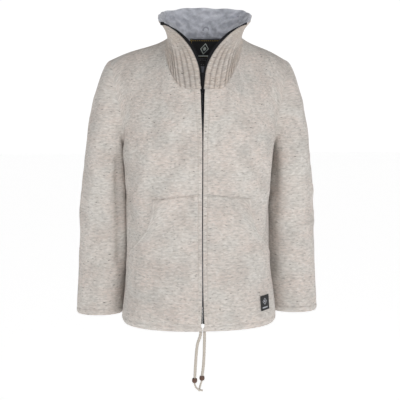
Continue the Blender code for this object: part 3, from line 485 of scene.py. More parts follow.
def bezier(a, b, c, d, t):
    """The curve from a to d that leaves towards b and arrives from c, at the share t."""
    return a * (1 - t) ** 3 + b * 3 * t * (1 - t) ** 2 + c * 3 * t**2 * (1 - t) + d * t**3


def collar_surface(places, heights):
    """The collar's outer face: rows by height, columns by place from the zip edge round the back."""
    half = np.array([row[1:] for row in COLLAR_SECTIONS[1:]], float)
    net = np.concatenate([half, half[-2::-1] * np.array([-1.0, 1.0, 1.0])])
    across = spline(np.arange(len(net)), net, places)
    return spline(np.linspace(0, 1, net.shape[1]), across.transpose(1, 0, 2), heights)


def half_panel(which, shares, levels, climbs):
    """One side of the front or back at +X: rows from hem to seam, columns from centre to side."""
    body = columns(BODY_SECTIONS)
    turn = np.linspace(0, math.pi / 2, 181)
    facing = -1 if which == "front" else 1
    rows = []
    for z in levels:
        x = spline(body["z"], body["half_width"], z) * np.sin(turn) ** (2 / RING_POWER)
        y = spline(body["z"], body[which], z) * np.clip(np.cos(turn), 0, 1) ** (2 / RING_POWER)
        y[-1] = 0.0
        rows.append(even_places(np.stack([x, facing * y, np.full_like(x, z)], axis=1), shares))
    neck_shares, neck_places = NECK_EDGES[which]
    on_neck = shares <= neck_shares[-1]
    neck = collar_surface(np.interp(shares[on_neck], neck_shares, neck_places), np.zeros(1))[0]
    over = (shares[~on_neck] - neck_shares[-1]) / (1 - neck_shares[-1])
    shoulder = spline(np.linspace(0, 1, len(SHOULDER_SEAM)), np.array(SHOULDER_SEAM), over)
    end = np.concatenate([neck, shoulder])
    handles = columns(FRONT_COLUMNS if which == "front" else BACK_COLUMNS)

    def handle(way):
        along = [spline(handles["chest_share"], handles[way + axis], shares) for axis in "xyz"]
        return np.stack(along, axis=1)

    start = rows[-1]
    rows += [bezier(start, start + handle("leaves_"), end + handle("arrives_"), end, t) for t in climbs]
    return np.array(rows)


def part_front_edges(points):
    """Moves the front's edge columns out to the edge of the opening, less and less away from it."""
    table = columns(FRONT_EDGE)
    gap = np.interp(points[..., 2], table["z"], table["half_gap"])
    share = np.clip(1 - points[..., 0] / 0.030, 0, 1)
    moved = points.copy()
    moved[..., 0] += np.where(points[..., 2] < 0, gap * share, 0)
    moved[-1] = points[-1]
    return moved


def sleeve_surface(armhole, turn, cap_steps, levels):
    """The sleeve at +X: rows from the armhole to the cuff, columns round it from the shoulder point."""
    outward = (1 + np.cos(turn)) / 2
    under = 1 - outward
    flank = np.sin(turn)
    table = {name: column[::-1] for name, column in columns(SLEEVE_SECTIONS).items()}

    def ring(z):
        outer, inner, middle_y, half_depth = (
            spline(table["z"], table[name], z) for name in ("outer", "inner", "middle_y", "half_depth"))
        x = (outer + inner) / 2 + (outer - inner) / 2 * np.cos(turn)
        return np.stack([x, middle_y - half_depth * flank, np.full(len(turn), z)], axis=1)

    first = ring(levels[0])
    leave = armhole + np.stack([
        0.005 + 0.025 * outward + 0.014 * flank**2,
        0.010 * under - 0.013 * flank,
        -0.010 * outward + 0.006 * under - 0.017 * flank**2,
    ], axis=1)
    arrive = first + np.stack([
        -0.004 * outward,
        0 * turn,
        0.022 + 0.048 * outward + 0.020 * flank**2,
    ], axis=1)
    rows = [bezier(armhole, leave, arrive, first, t) for t in cap_steps]
    return np.array(rows + [ring(z) for z in levels])


def normals_of(grid, closed=False):
    """Unit normals of a grid of points, from its columns crossed with its rows."""
    up = np.gradient(grid, axis=0)
    if closed:
        across = np.roll(grid, -1, axis=1) - np.roll(grid, 1, axis=1)
    else:
        across = np.gradient(grid, axis=1)
    return unit(np.cross(across, up))


def share_normals(first, second):
    """Gives two rows that meet at a seam one normal where they run on smoothly."""
    alike = smooth_step(np.sum(first * second, axis=1), 0.10, 0.75)[:, None]
    both = unit(first + second)
    for row in (first, second):
        row[:] = unit(row * (1 - alike) + both * alike)


def relaxed(grid):
    """Evens out a panel's columns, more and more away from its edges."""
    inside = np.minimum(np.minimum(from_edge(grid, "near"), from_edge(grid, "far")),
                        np.minimum(from_edge(grid, "low"), from_edge(grid, "high")))
    calm = smooth_step(inside, 0.002, 0.035)[:, 1:-1, None]
    for _ in range(RELAX_TIMES):
        grid[:, 1:-1] += ((grid[:, :-2] + grid[:, 2:]) / 2 - grid[:, 1:-1]) * calm * 0.5
    return grid


def crease_depth(points):
    """How far the creases lower the cloth at each point. They die away at the stiff zip edges."""
    depth = np.zeros(points.shape[:-1])
    for start, end, width, deep in CREASES[1:]:
        a = np.array(start)
        run = np.array(end) - a
        t = np.clip((points - a) @ run / (run @ run), 0, 1)
        away = np.linalg.norm(points - a - t[..., None] * run, axis=-1)
        depth -= deep * np.exp(-((away / width) ** 2))
        depth += SIDE_RIPPLE * deep * np.exp(-(((away - 2.0 * width) / width) ** 2))
    stiff = smooth_step(np.abs(points[..., 0]), CREASE_FREE, CREASE_FULL)
    return depth * np.where(points[..., 1] < 0, stiff, 1)


def from_edge(grid, edge):
    """How far each point of a grid lies from one of its edges, along the cloth."""
    axis = 0 if edge in ("low", "high") else 1
    steps = np.linalg.norm(np.diff(grid, axis=axis), axis=2)
    start = np.zeros_like(np.take(steps, [0], axis=axis))
    run = np.cumsum(np.concatenate([start, steps], axis=axis), axis=axis)
    if edge in ("high", "far"):
        run = np.take(run, [-1], axis=axis) - run
    return run


def sewn_edge(distance, depth):
    """A turned and stitched edge: it swells a little, with a groove where the stitches pull it in."""
    inside = np.clip(distance / depth, 0, 1)
    swell = EDGE_SWELL * np.sin(math.pi * inside) ** 0.7
    return swell - SEAM_DIP * np.exp(-(((distance - depth) / SEAM_WIDTH) ** 2))


def lean(points):
    """Leans the neck over and turns it, as the cardigan is worn."""
    x, y, z = points[..., 0], points[..., 1], points[..., 2]
    amount = smooth_step(z, -0.120, 0.000) * (1 - smooth_step(np.abs(x), 0.120, 0.240))
    moved = points.copy()
    moved[..., 0] = x + amount * (NECK_SHIFT + NECK_TURN * y)
    return moved


def cut_of(grid, origin_column=0):
    """Each point's place on the flat piece in millimetres, across from one column and up from row 0."""
    across = from_edge(grid, "near")
    across = across - across[:, [origin_column]]
    return np.stack([across, from_edge(grid, "low")], axis=-1) * 1000


def make_cloth(name, outer, out, thick, materials, rounded, closed=False, seed=0, flip=False, cut=None):
    """A closed skin round a sheet of cloth. The outer grid runs right and up, seen from outside. At each
    edge in rounded the two faces curve together over its distance. The first material is outside."""
    rows, cols = outer.shape[:2]
    nearness = np.full((rows, cols), 1.0)
    for edge, over in rounded.items():
        inside = np.clip(from_edge(outer, edge) / over, 0, 1)
        nearness = np.minimum(nearness, np.sqrt(1 - (1 - inside) ** 2))
    thick = np.broadcast_to(thick, (rows, cols))
    drawn = (thick / 2 * (1 - nearness))[..., None] * out
    front = lean(outer - drawn)
    back = lean(outer - out * thick[..., None] + drawn)
    if cut is None:
        cut = cut_of(outer)
    cut = cut + 1000.0 * seed
    half = rows * cols
    i, j = np.meshgrid(np.arange(rows - 1), np.arange(cols if closed else cols - 1), indexing="ij")
    k = (j + 1) % cols
    a, b, c, d = i * cols + j, i * cols + k, (i + 1) * cols + k, (i + 1) * cols + j
    faces = [np.stack([a, b, c, d], axis=-1).reshape(-1, 4),
             half + np.stack([d, c, b, a], axis=-1).reshape(-1, 4)]
    j, k = j[0], k[0]
    top = (rows - 1) * cols
    rims = [np.stack([j, half + j, half + k, k], axis=-1),
            np.stack([top + j, top + k, half + top + k, half + top + j], axis=-1)]
    if not closed:
        low, high = np.arange(rows - 1) * cols, np.arange(1, rows) * cols
        rims.append(np.stack([low, high, half + high, half + low], axis=-1))
        low, high = low + cols - 1, high + cols - 1
        rims.append(np.stack([high, low, half + low, half + high], axis=-1))
    kinds = np.concatenate([np.zeros(len(faces[0])), np.ones(len(faces[1])), np.zeros(sum(map(len, rims)))])
    faces = np.concatenate(faces + rims)
    if flip:
        faces = faces[:, ::-1]
    points = np.concatenate([front.reshape(-1, 3), back.reshape(-1, 3)])
    cut = np.concatenate([cut.reshape(-1, 2), cut.reshape(-1, 2)])
    piece = make_piece(name, points, faces, materials, cut, kinds if len(materials) > 1 else None)
    piece.data.set_sharp_from_angle(angle=math.radians(65))
    weld = piece.modifiers.new("weld", "WELD")
    weld.merge_threshold = 0.00002
    return piece


# Melange wool knit: undyed cream yarn carded with grey and brown hair, so short flecks and long soft
# streaks lie along the courses. It is dull, with a faint bloom of loose hair where it turns away.
# Each wale is 3.6 mm wide, and the stitches are drawn as coarse as that to show at all.
WALE_MM = 3.6
COURSE_MM = 2.8
WOOL_PALE = "#EEEAE5"
WOOL_LIGHT = "#D8D4CE"
WOOL_WARM = "#DCD0C8"
WOOL_MID = "#BFB8B0"
WOOL_GREY = "#ABA8A5"
WOOL_BROWN = "#766B62"
WOOL_DARK = "#453F3B"


def stitch_height(material, u, v, wale_mm, course_mm):
    """Height of stocking stitch: two slanting legs to each wale, like a column of small letters V."""
    across = math_node(material, "ABSOLUTE", math_node(
        material, "SUBTRACT", math_node(material, "FRACT", math_node(material, "DIVIDE", u, wale_mm)), 0.5))
    leg = math_node(material, "SINE", math_node(material, "MULTIPLY", across, 2 * math.pi))
    climb = math_node(material, "ADD", math_node(material, "DIVIDE", v, course_mm),
                      math_node(material, "MULTIPLY", across, 1.6))
    loop = math_node(material, "ABSOLUTE", math_node(
        material, "SINE", math_node(material, "MULTIPLY", climb, math.pi)))
    body = math_node(material, "MULTIPLY_ADD", loop, 0.5, 0.5)
    return math_node(material, "MULTIPLY", leg, body)


def melange(name, light, warm, mid, groove=None):
    """Melange knit in three near shades of one yarn. groove adds painted shade between ribs."""
    material, shader = new_material(name, 0.92, sheen=0.12)
    u, v = cut_places(material)
    clouds = spots(material, u, v, (0.012, 0.020), 1.0, 0.36, 0.64, detail=2.0)
    streaks = spots(material, u, v, (0.060, 0.19), 2.0, 0.40, 0.62, detail=3.0)
    grey = spots(material, u, v, (0.085, 0.21), 3.0, 0.48, 0.68, detail=2.0)
    pale = spots(material, u, v, (0.100, 0.24), 7.0, 0.50, 0.70, detail=2.0)
    hair = spots(material, u, v, (0.9, 1.6), 4.0, 0.25, 0.80, detail=4.0)
    flecks = spots(material, u, v, (0.110, 0.28), 5.0, 0.60, 0.74, detail=1.0)
    dark = spots(material, u, v, (0.075, 0.24), 6.0, 0.69, 0.77, detail=1.0)
    stitch = stitch_height(material, u, v, WALE_MM, COURSE_MM)
    colour = mixed(material, clouds, linear(light), linear(warm))
    colour = mixed(material, math_node(material, "MULTIPLY", streaks, 0.55), colour, linear(mid))
    colour = mixed(material, math_node(material, "MULTIPLY", grey, 0.50), colour, linear(WOOL_GREY))
    colour = mixed(material, math_node(material, "MULTIPLY", pale, 0.50), colour, linear(WOOL_PALE))
    colour = mixed(material, math_node(material, "MULTIPLY", hair, 0.20), colour, linear(WOOL_BROWN))
    colour = mixed(material, math_node(material, "MULTIPLY", flecks, 0.42), colour, linear(WOOL_BROWN))
    colour = mixed(material, math_node(material, "MULTIPLY", dark, 0.75), colour, linear(WOOL_DARK))
    # Painted shade between the stitches: the knit is darkened towards WOOL_DARK where the stitch height is
    # low, more in soft patches.
    wale_shade_patches = spots(material, u, v, (0.022, 0.012), 11.0, 0.46, 0.62, detail=1.0)
    depth = math_node(material, "MULTIPLY_ADD", wale_shade_patches, 0.22, 0.07)
    painted_stitch_shade = math_node(material, "MULTIPLY", math_node(material, "SUBTRACT", 1.0, stitch), depth)
    colour = mixed(material, painted_stitch_shade, colour, linear(WOOL_DARK))
    if groove:
        colour = mixed(material, groove(material), colour, linear(WOOL_DARK))
    height = math_node(material, "MULTIPLY_ADD", hair, 0.35, stitch)
    dress(material, shader, colour, height, strength=0.5, distance=0.0011)
    return material


melange_knit = melange("melange_wool_knit", WOOL_LIGHT, WOOL_WARM, WOOL_MID)

# Brushed polyester fleece, bluish grey: a short, uneven pile, with painted highlights where it catches the
# light.
FLEECE_LIGHT = "#D2D4DC"
FLEECE_DARK = "#9C9EA7"
brushed_fleece, shader = new_material("brushed_fleece", 0.95, sheen=0.45)
u, v = cut_places(brushed_fleece)
pile = spots(brushed_fleece, u, v, (0.060, 0.060), 9.0, 0.36, 0.64, detail=4.0)
tuft = spots(brushed_fleece, u, v, (0.55, 0.55), 10.0, 0.2, 0.8, detail=4.0)
colour = mixed(brushed_fleece, pile, linear(FLEECE_DARK), linear(FLEECE_LIGHT))
# Painted shade in fine specks among the tufts.
tuft_shade = math_node(brushed_fleece, "MULTIPLY", tuft, 0.35)
colour = mixed(brushed_fleece, tuft_shade, colour, linear(FLEECE_DARK))
height = math_node(brushed_fleece, "ADD", pile, tuft)
dress(brushed_fleece, shader, colour, height, strength=0.7, distance=0.0012)

edge_rows = np.array([0.0, 0.0003, 0.0008, 0.0014])
body_levels = np.concatenate([HEM_Z + edge_rows, np.arange(HEM_Z + 0.0025, HEM_Z + 0.024, 0.0011),
                              np.linspace(HEM_Z + 0.026, -0.275, 104)])
climbs = np.concatenate([np.linspace(0, 1, 49)[1:-1], [0.985, 0.992, 0.996, 1.0]])
edge_shares = np.array([0.0, 0.0012, 0.0032, 0.0056])
front_shares = np.concatenate([edge_shares, np.arange(0.010, 0.070, 0.0044), np.linspace(0.075, 0.52, 32),
                               np.linspace(0.532, 0.990, 34), 1 - edge_shares[::-1]])
back_shares = np.concatenate([np.linspace(0, 0.45, 32), np.linspace(0.462, 0.990, 38),
                              1 - edge_shares[::-1]])
chest = len(body_levels) - 1

front = part_front_edges(relaxed(half_panel("front", front_shares, body_levels, climbs)))
back = relaxed(half_panel("back", back_shares, body_levels, climbs))
climb_of = np.concatenate([[0.0], climbs])
front_hole, back_hole = front[chest:, -1][::-1], back[chest:, -1]
armhole = np.concatenate([front_hole, back_hole[1:-1]])
turn = math.pi * np.concatenate([1 - climb_of[::-1], 1 + climb_of[1:-1]])
cap_steps = np.concatenate([[0.0, 0.003, 0.008, 0.015], np.linspace(0.03, 1, 34)[:-1]])
sleeve_levels = np.concatenate([np.linspace(SLEEVE_TOP, CUFF_Z + 0.026, 92),
                                np.arange(CUFF_Z + 0.024, CUFF_Z + 0.002, -0.0011),
                                CUFF_Z + edge_rows[::-1]])
sleeve = sleeve_surface(armhole, turn, cap_steps, sleeve_levels)

front_out = normals_of(front)
back_out = -normals_of(back)
sleeve_out = normals_of(sleeve, closed=True)
if sleeve_out[60, 0, 0] < 0:
    sleeve_out = -sleeve_out
back_out[:, 0, 0] = 0.0
back_out = unit(back_out)
front_out = unit(front_out)
ups = len(climbs)
share_normals(front_out[:chest, -1], back_out[:chest, -1])
share_normals(front_out[-1:, -1], back_out[-1:, -1])
share_normals(front_out[chest + 1:-1, -1], sleeve_out[0, 1:ups][::-1])
share_normals(back_out[chest + 1:-1, -1], sleeve_out[0, ups + 1:])

seam_fade = smooth_step(from_edge(front, "far"), 0.0, SEAM_FADE)
seam_fade[:chest] = 1.0
panels = {}


def shaped(grid, out, keep, relief):
    """A panel with its creases and sewn edges, which lie along its normals."""
    return grid + out * (crease_depth(grid) * keep + relief)[..., None]


def turned_cloth(above_edge):
    """The thickness of the cloth, which is greater where a hem or a cuff is turned up."""
    return CLOTH + EDGE_CLOTH * (1 - smooth_step(above_edge, *TURNED_UP))


above_hem = from_edge(front, "low")
neck_share = 1 - smooth_step(front_shares, 0.47, 0.54)
neck_dip = NECK_DIP * np.exp(-((from_edge(front, "high") / 0.0022) ** 2)) * neck_share
beside_zip = sewn_edge(from_edge(front, "near"), ZIP_EDGE_DEPTH) * 0.6
front_relief = sewn_edge(above_hem, EDGE_DEPTH) - neck_dip
front_relief += beside_zip * smooth_step(above_hem, EDGE_DEPTH, EDGE_DEPTH + 0.01)
mirror = np.array([-1.0, 1.0, 1.0])
hem_cloth = turned_cloth(above_hem)
for side, seed in (("left", 1), ("right", 2)):
    grid, out = (front, front_out) if side == "right" else (front * mirror, front_out * mirror)
    grid = shaped(grid, out, seam_fade, front_relief)
    panels["front_" + side] = (grid, out)
    cut = cut_of(grid)
    if side == "left":
        cut = cut * np.array([-1.0, 1.0])
    edges = {"near": ROUND_EDGE, "low": ROUND_EDGE}
    piece = make_cloth("knit_front_" + side, grid, out, hem_cloth, [melange_knit, brushed_fleece], edges,
                       seed=seed, flip=side == "left", cut=cut)
    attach(piece, "garment")
    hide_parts("front_" + side)

whole = np.concatenate([back[:, ::-1], (back * mirror)[:, 1:]], axis=1)
whole_out = np.concatenate([back_out[:, ::-1], (back_out * mirror)[:, 1:]], axis=1)
back_fade = smooth_step(np.minimum(from_edge(whole, "near"), from_edge(whole, "far")), 0.0, SEAM_FADE)
back_fade[:chest] = 1.0
above_hem = from_edge(whole, "low")
whole = shaped(whole, whole_out, back_fade, sewn_edge(above_hem, EDGE_DEPTH))
panels["back"] = (whole, whole_out)
hem_cloth = turned_cloth(above_hem)
piece = make_cloth("knit_back", whole, whole_out, hem_cloth, [melange_knit, brushed_fleece],
                   {"low": ROUND_EDGE}, seed=3, cut=cut_of(whole, len(back_shares) - 1))
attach(piece, "garment")
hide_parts("back")

cap_fade = smooth_step(from_edge(sleeve, "low"), 0.0, SEAM_FADE)
above_cuff = from_edge(sleeve, "high")
for side, seed in (("left", 4), ("right", 5)):
    grid, out = (sleeve, sleeve_out) if side == "right" else (sleeve * mirror, sleeve_out * mirror)
    grid = shaped(grid, out, cap_fade, sewn_edge(above_cuff, EDGE_DEPTH))
    panels["sleeve_" + side] = (grid, out)
    around = from_edge(grid, "near")
    cut = np.stack([around - around[:, [ups]], above_cuff], axis=-1) * 1000
    thick = turned_cloth(above_cuff)
    piece = make_cloth("knit_sleeve_" + side, grid[::-1], out[::-1], thick[::-1],
                       [melange_knit, brushed_fleece], {"low": ROUND_EDGE}, closed=True, seed=seed,
                       flip=side == "right", cut=cut[::-1])
    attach(piece, "garment")
    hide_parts("sleeve_" + side)

# Collar and yoke in one piece of rib knit: the ribs stand up from the curved seam, fan out and die
# away into plain knit above, where the collar falls open.
RIBS = 54
POINTS_PER_RIB = 10
RIB_HEIGHT = 0.0032
RIB_ROUND = 1.25
RIB_GROOVE = 0.85
RIB_SHADE = 0.34
RIB_FADE = (0.40, 0.70)
COLLAR_CLOTH = 0.0030
COLLAR_ROWS = 64
COLLAR_GAP = 0.0008
RIB_LIGHT = "#CBC2BA"
RIB_WARM = "#CDBFB3"
RIB_MID = "#B1A79E"


def painted_rib_groove_shade(material):
    """Painted shade down in the grooves, where less light reaches; it dies away up the collar with the ribs.
    """
    place = add_node(material, "UVMap", uv_map="ribs")
    split = add_node(material, "SeparateXYZ", {0: place.outputs[0]})
    wander = add_node(material, "TexNoise", {"Vector": place.outputs[0], "Scale": 1.7, "Detail": 2.0})
    across = math_node(material, "MULTIPLY_ADD", wander.outputs[0], 0.16, split.outputs[0])
    wave = math_node(material, "ABSOLUTE", math_node(material, "SINE", math_node(
        material, "MULTIPLY", math_node(material, "SUBTRACT", across, 0.08), math.pi)))
    deep = add_node(material, "MapRange", {0: wave, 1: RIB_GROOVE, 2: 0.0},
                    interpolation_type="SMOOTHERSTEP")
    low = add_node(material, "MapRange", {0: split.outputs[1], 1: RIB_FADE[1], 2: RIB_FADE[0]})
    shade = math_node(material, "MULTIPLY", deep.outputs[0], low.outputs[0])
    return math_node(material, "MULTIPLY", shade, RIB_SHADE)


rib_knit = melange("wool_rib_knit", RIB_LIGHT, RIB_WARM, RIB_MID, groove=painted_rib_groove_shade)
places_fine = np.linspace(0, 2 * BACK_PLACE, 561)
low_run = run_along(collar_surface(places_fine, np.array([0.25]))[0])
count = RIBS * POINTS_PER_RIB
ends = np.array([0.0, 0.15, 0.4, 0.7]) / count
rib_steps = np.concatenate([ends, np.arange(1, count) / count, 1 - ends[::-1]])
collar_places = np.interp(rib_steps * low_run[-1], low_run, places_fine)
collar_heights = np.concatenate([[0.0, 0.003, 0.008], np.linspace(0.016, 0.985, COLLAR_ROWS),
                                 [0.991, 0.996, 1.0]])
collar = collar_surface(collar_places, collar_heights)
collar_out = normals_of(collar)
wave = np.abs(np.sin(math.pi * rib_steps * RIBS))
ridge = wave**RIB_ROUND * RIB_HEIGHT
rise = smooth_step(collar_heights, 0.0, 0.03) * (1 - smooth_step(collar_heights, *RIB_FADE))
from_zip = np.minimum(from_edge(collar, "near"), from_edge(collar, "far"))
beside_zip = smooth_step(from_zip, 0.004, 0.012)
top_wave = 0.0011 * np.sin(collar_places * 5.3) + 0.0008 * np.sin(collar_places * 11.7 + 1.0)
relief = rise[:, None] * ridge[None, :] * beside_zip + sewn_edge(from_zip, 0.008) * 0.6
relief -= NECK_DIP * np.exp(-((from_edge(collar, "low") / 0.0022) ** 2))
ribbed = collar + collar_out * relief[..., None]
ribbed[..., 2] += smooth_step(collar_heights, 0.75, 1.0)[:, None] * top_wave[None, :]
panels["collar"] = (collar, collar_out)
middle_run = run_along(collar[len(collar) // 3])
straight_cut = np.stack(np.broadcast_arrays(middle_run[None, :], from_edge(collar, "low")), axis=-1) * 1000
edges = {"near": ROUND_EDGE, "far": ROUND_EDGE, "high": ROUND_EDGE}
thick = COLLAR_CLOTH + np.maximum(relief, 0) * 0.6
piece = make_cloth("rib_collar", ribbed, collar_out, thick, [rib_knit, brushed_fleece], edges, seed=6,
                   cut=straight_cut)
layer = piece.data.uv_layers.new(name="ribs")
corner = np.empty(len(piece.data.loops), np.int32)
piece.data.loops.foreach_get("vertex_index", corner)
rib_place = np.stack(np.meshgrid(rib_steps * RIBS, collar_heights), axis=-1).reshape(-1, 2)
layer.data.foreach_set("uv", np.concatenate([rib_place, rib_place]).astype(np.float32)[corner].ravel())
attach(piece, "garment")
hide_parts("collar")

# The collar's lining: brushed fleece inside the collar from edge to edge, with soft slanting creases
# where it is fuller than the rib outside it.
LINING_CLOTH = 0.0022
LINING_EDGE = 0.0060
LINING_DROP = 0.0085
LINING_ROLL = 0.0030
LINING_CREASES = (
    ("place", "height", "slant", "length", "width", "depth"),
    (5.0, 0.62, 1.9, 0.34, 0.13, 0.0034),
    (5.7, 0.74, 1.2, 0.34, 0.14, 0.0056),
    (6.3, 0.52, -1.6, 0.26, 0.13, 0.0026),
    (6.8, 0.78, 0.9, 0.24, 0.11, 0.0030),
    (7.4, 0.60, -1.5, 0.34, 0.14, 0.0044),
    (8.0, 0.80, -1.0, 0.26, 0.12, 0.0036),
    (8.4, 0.78, 1.5, 0.34, 0.14, 0.0056),
    (9.1, 0.72, -1.6, 0.34, 0.13, 0.0040),
    (6.2, 0.86, -1.3, 0.22, 0.075, 0.0044),
    (7.45, 0.88, -0.6, 0.17, 0.065, 0.0038),
    (8.0, 0.78, 0.6, 0.20, 0.075, 0.0036),
    (3.4, 0.50, 1.0, 0.50, 0.20, 0.0020),
    (10.6, 0.52, -1.0, 0.50, 0.20, 0.0020),
)
steps = np.linspace(0, 1, 361)
inset = LINING_EDGE / low_run[-1]
lining_places = np.interp((inset + steps * (1 - 2 * inset)) * low_run[-1], low_run, places_fine)
lining_heights = np.concatenate([[0.045, 0.050, 0.056], np.linspace(0.065, 0.975, 60), [0.986, 0.994, 1.0]])
lining = collar_surface(lining_places, lining_heights)
top_rise = smooth_step(lining_heights, 0.75, 1.0)[:, None]
lining[..., 2] += top_rise * np.interp(lining_places, collar_places, top_wave)
lining_out = normals_of(lining)
ripple = np.zeros(lining.shape[:2])
for place, height, slant, length, width, depth in LINING_CREASES[1:]:
    up = lining_heights[:, None] - height
    off = lining_places[None, :] - place - slant * up
    ripple += depth * np.exp(-((off / width) ** 2) - (up / length) ** 2)
    ripple -= depth * 0.6 * np.exp(-(((np.abs(off) - 2 * width) / width) ** 2) - (up / length) ** 2)
edge_calm = smooth_step(np.minimum(from_edge(lining, "low"), from_edge(lining, "high")), 0.0, 0.02)
at_back = 1 - smooth_step(np.abs(lining_places - BACK_PLACE), 1.2, 2.8)
rolled = LINING_ROLL * np.exp(-(((from_edge(lining, "low") - 0.004) / 0.0045) ** 2)) * at_back
gap = COLLAR_GAP * (0.2 + 0.8 * smooth_step(from_edge(lining, "high"), 0.0, 0.006))
lining_face = lining - lining_out * (COLLAR_CLOTH + gap + rolled + (0.0020 + ripple) * edge_calm)[..., None]
downward = unit(lining_face[0] - lining_face[4]) * (0.0004 + LINING_DROP * at_back)[:, None]
dropped = [lining_face[0] + downward * share for share in (1.0, 0.93, 0.85, 0.5)]
lining_face = np.concatenate([dropped, lining_face])
lining_out = np.concatenate([lining_out[[0, 0, 0, 0]], lining_out])
edges = dict.fromkeys(("near", "far", "low", "high"), LINING_CLOTH / 2)
middle_run = run_along(lining_face[len(lining_face) // 2])
cut = np.stack(np.broadcast_arrays(middle_run[None, :], from_edge(lining_face, "low")), axis=-1) * 1000
piece = make_cloth("fleece_lining", lining_face, lining_out, LINING_CLOTH, [brushed_fleece], edges,
                   seed=7, cut=cut)
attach(piece, "garment")
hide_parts("collar_lining")

# Two slanted pockets, applied panels of the same knit. Each is stitched down along its top and sides,
# and its curved mouth towards the side seam stays open.
POCKET_CLOTH = 0.0022
POCKET_LIFT = 0.0006
POCKET_SEWN = 0.0008
POCKET_TOP = (-0.385, -0.12)
POCKET_MOUTH = (
    ("z", "x"),
    (-0.560, 0.1775),
    (-0.540, 0.1740),
    (-0.518, 0.1610),
    (-0.500, 0.1480),
    (-0.4755, 0.1340),
    (-0.456, 0.1270),
    (-0.431, 0.1220),
    (-0.400, 0.1195),
)
POCKET_INNER_X = 0.011
POCKET_SIDE_INSET = 0.004
POCKET_BOTTOM = -0.704
STITCH_LENGTH = 0.0030
STITCH_GAP = 0.0012
THREAD_RADIUS = 0.00035
STITCH_INSET = 0.006


def face_at(grid, x, z):
    """The depth of a panel's outer face at places given across and up it."""
    ordered = sorted(np.swapaxes(grid, 0, 1), key=lambda column: column[0, 0])
    xs = np.stack([np.interp(z, column[:, 2], column[:, 0]) for column in ordered], axis=-1)
    ys = np.stack([np.interp(z, column[:, 2], column[:, 1]) for column in ordered], axis=-1)
    depth = np.empty_like(x)
    for place in np.ndindex(x.shape):
        depth[place] = np.interp(x[place], xs[place], ys[place])
    return depth


def make_stitches(name, line, out, material):
    """A row of short raised stitches along a line on the cloth, in one mesh."""
    run = run_along(line)
    starts = np.arange(STITCH_GAP, run[-1] - STITCH_LENGTH, STITCH_LENGTH + STITCH_GAP)
    points, faces = [], []
    for start in starts:
        at = np.array([start, start + STITCH_LENGTH * 0.5, start + STITCH_LENGTH])
        centre = np.stack([np.interp(at, run, line[:, k]) for k in range(3)], axis=1)
        up = unit(np.array([np.interp(start, run, out[:, k]) for k in range(3)]))
        centre[1] += up * THREAD_RADIUS * 1.4
        centre[[0, 2]] -= up * THREAD_RADIUS * 0.5
        side = unit(np.cross(centre[2] - centre[0], up))
        first = len(points)
        for place, fat in zip(centre, (0.6, 1.0, 0.6)):
            for a, b in ((1, 0), (0, 1), (-1, 0), (0, -1)):
                points.append(place + THREAD_RADIUS * fat * (a * side + b * up))
        for i in range(2):
            for j in range(4):
                k = (j + 1) % 4
                low, high = first + 4 * i, first + 4 * (i + 1)
                faces.append((low + j, low + k, high + k, high + j))
        faces += [tuple(first + n for n in (3, 2, 1, 0)), tuple(first + 8 + n for n in range(4))]
    piece = make_piece(name, np.array(points), faces, [material])
    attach(piece, "garment")
    return piece


# Sewing thread, spun polyester in cream. Its colour is a little darker than the wool, as painted shade where
# it sinks in.
THREAD_CREAM_SHADED = "#A79C8F"
cream_thread, shader = new_material("cream_thread", 0.6)
shader.inputs["Base Color"].default_value = linear(THREAD_CREAM_SHADED)
twist = add_node(cream_thread, "TexNoise", {"Scale": 900.0, "Detail": 2.0})
dress(cream_thread, shader, height=twist.outputs[0], strength=0.3, distance=0.0002)

mouth = columns(POCKET_MOUTH)
body = columns(BODY_SECTIONS)
levels = np.concatenate([POCKET_BOTTOM + edge_rows, np.linspace(POCKET_BOTTOM + 0.003, -0.4030, 88)])
share = np.concatenate([
    [0.0, 0.002, 0.005, 0.009],
    np.sin(np.linspace(0.02, 1, 52)[:-1] * math.pi / 2) ** 0.95,
    [0.994, 0.998, 1.0],
])
ends = np.array([float(spline(body["z"], body["half_width"], z)) for z in levels]) - POCKET_SIDE_INSET
on_mouth = levels > mouth["z"][0]
ends[on_mouth] = np.minimum(ends[on_mouth], spline(mouth["z"], mouth["x"], levels[on_mouth]))
x = POCKET_INNER_X + (ends[:, None] - POCKET_INNER_X) * share[None, :]
z = np.repeat(levels[:, None], len(share), axis=1)
top = POCKET_TOP[0] + POCKET_TOP[1] * x[-1]
for lift in (0.25, 0.5, 0.75, 0.9, 0.96, 0.985, 1.0):
    x = np.concatenate([x, x[[len(levels) - 1]]])
    z = np.concatenate([z, (levels[-1] + (top - levels[-1]) * lift)[None, :]])
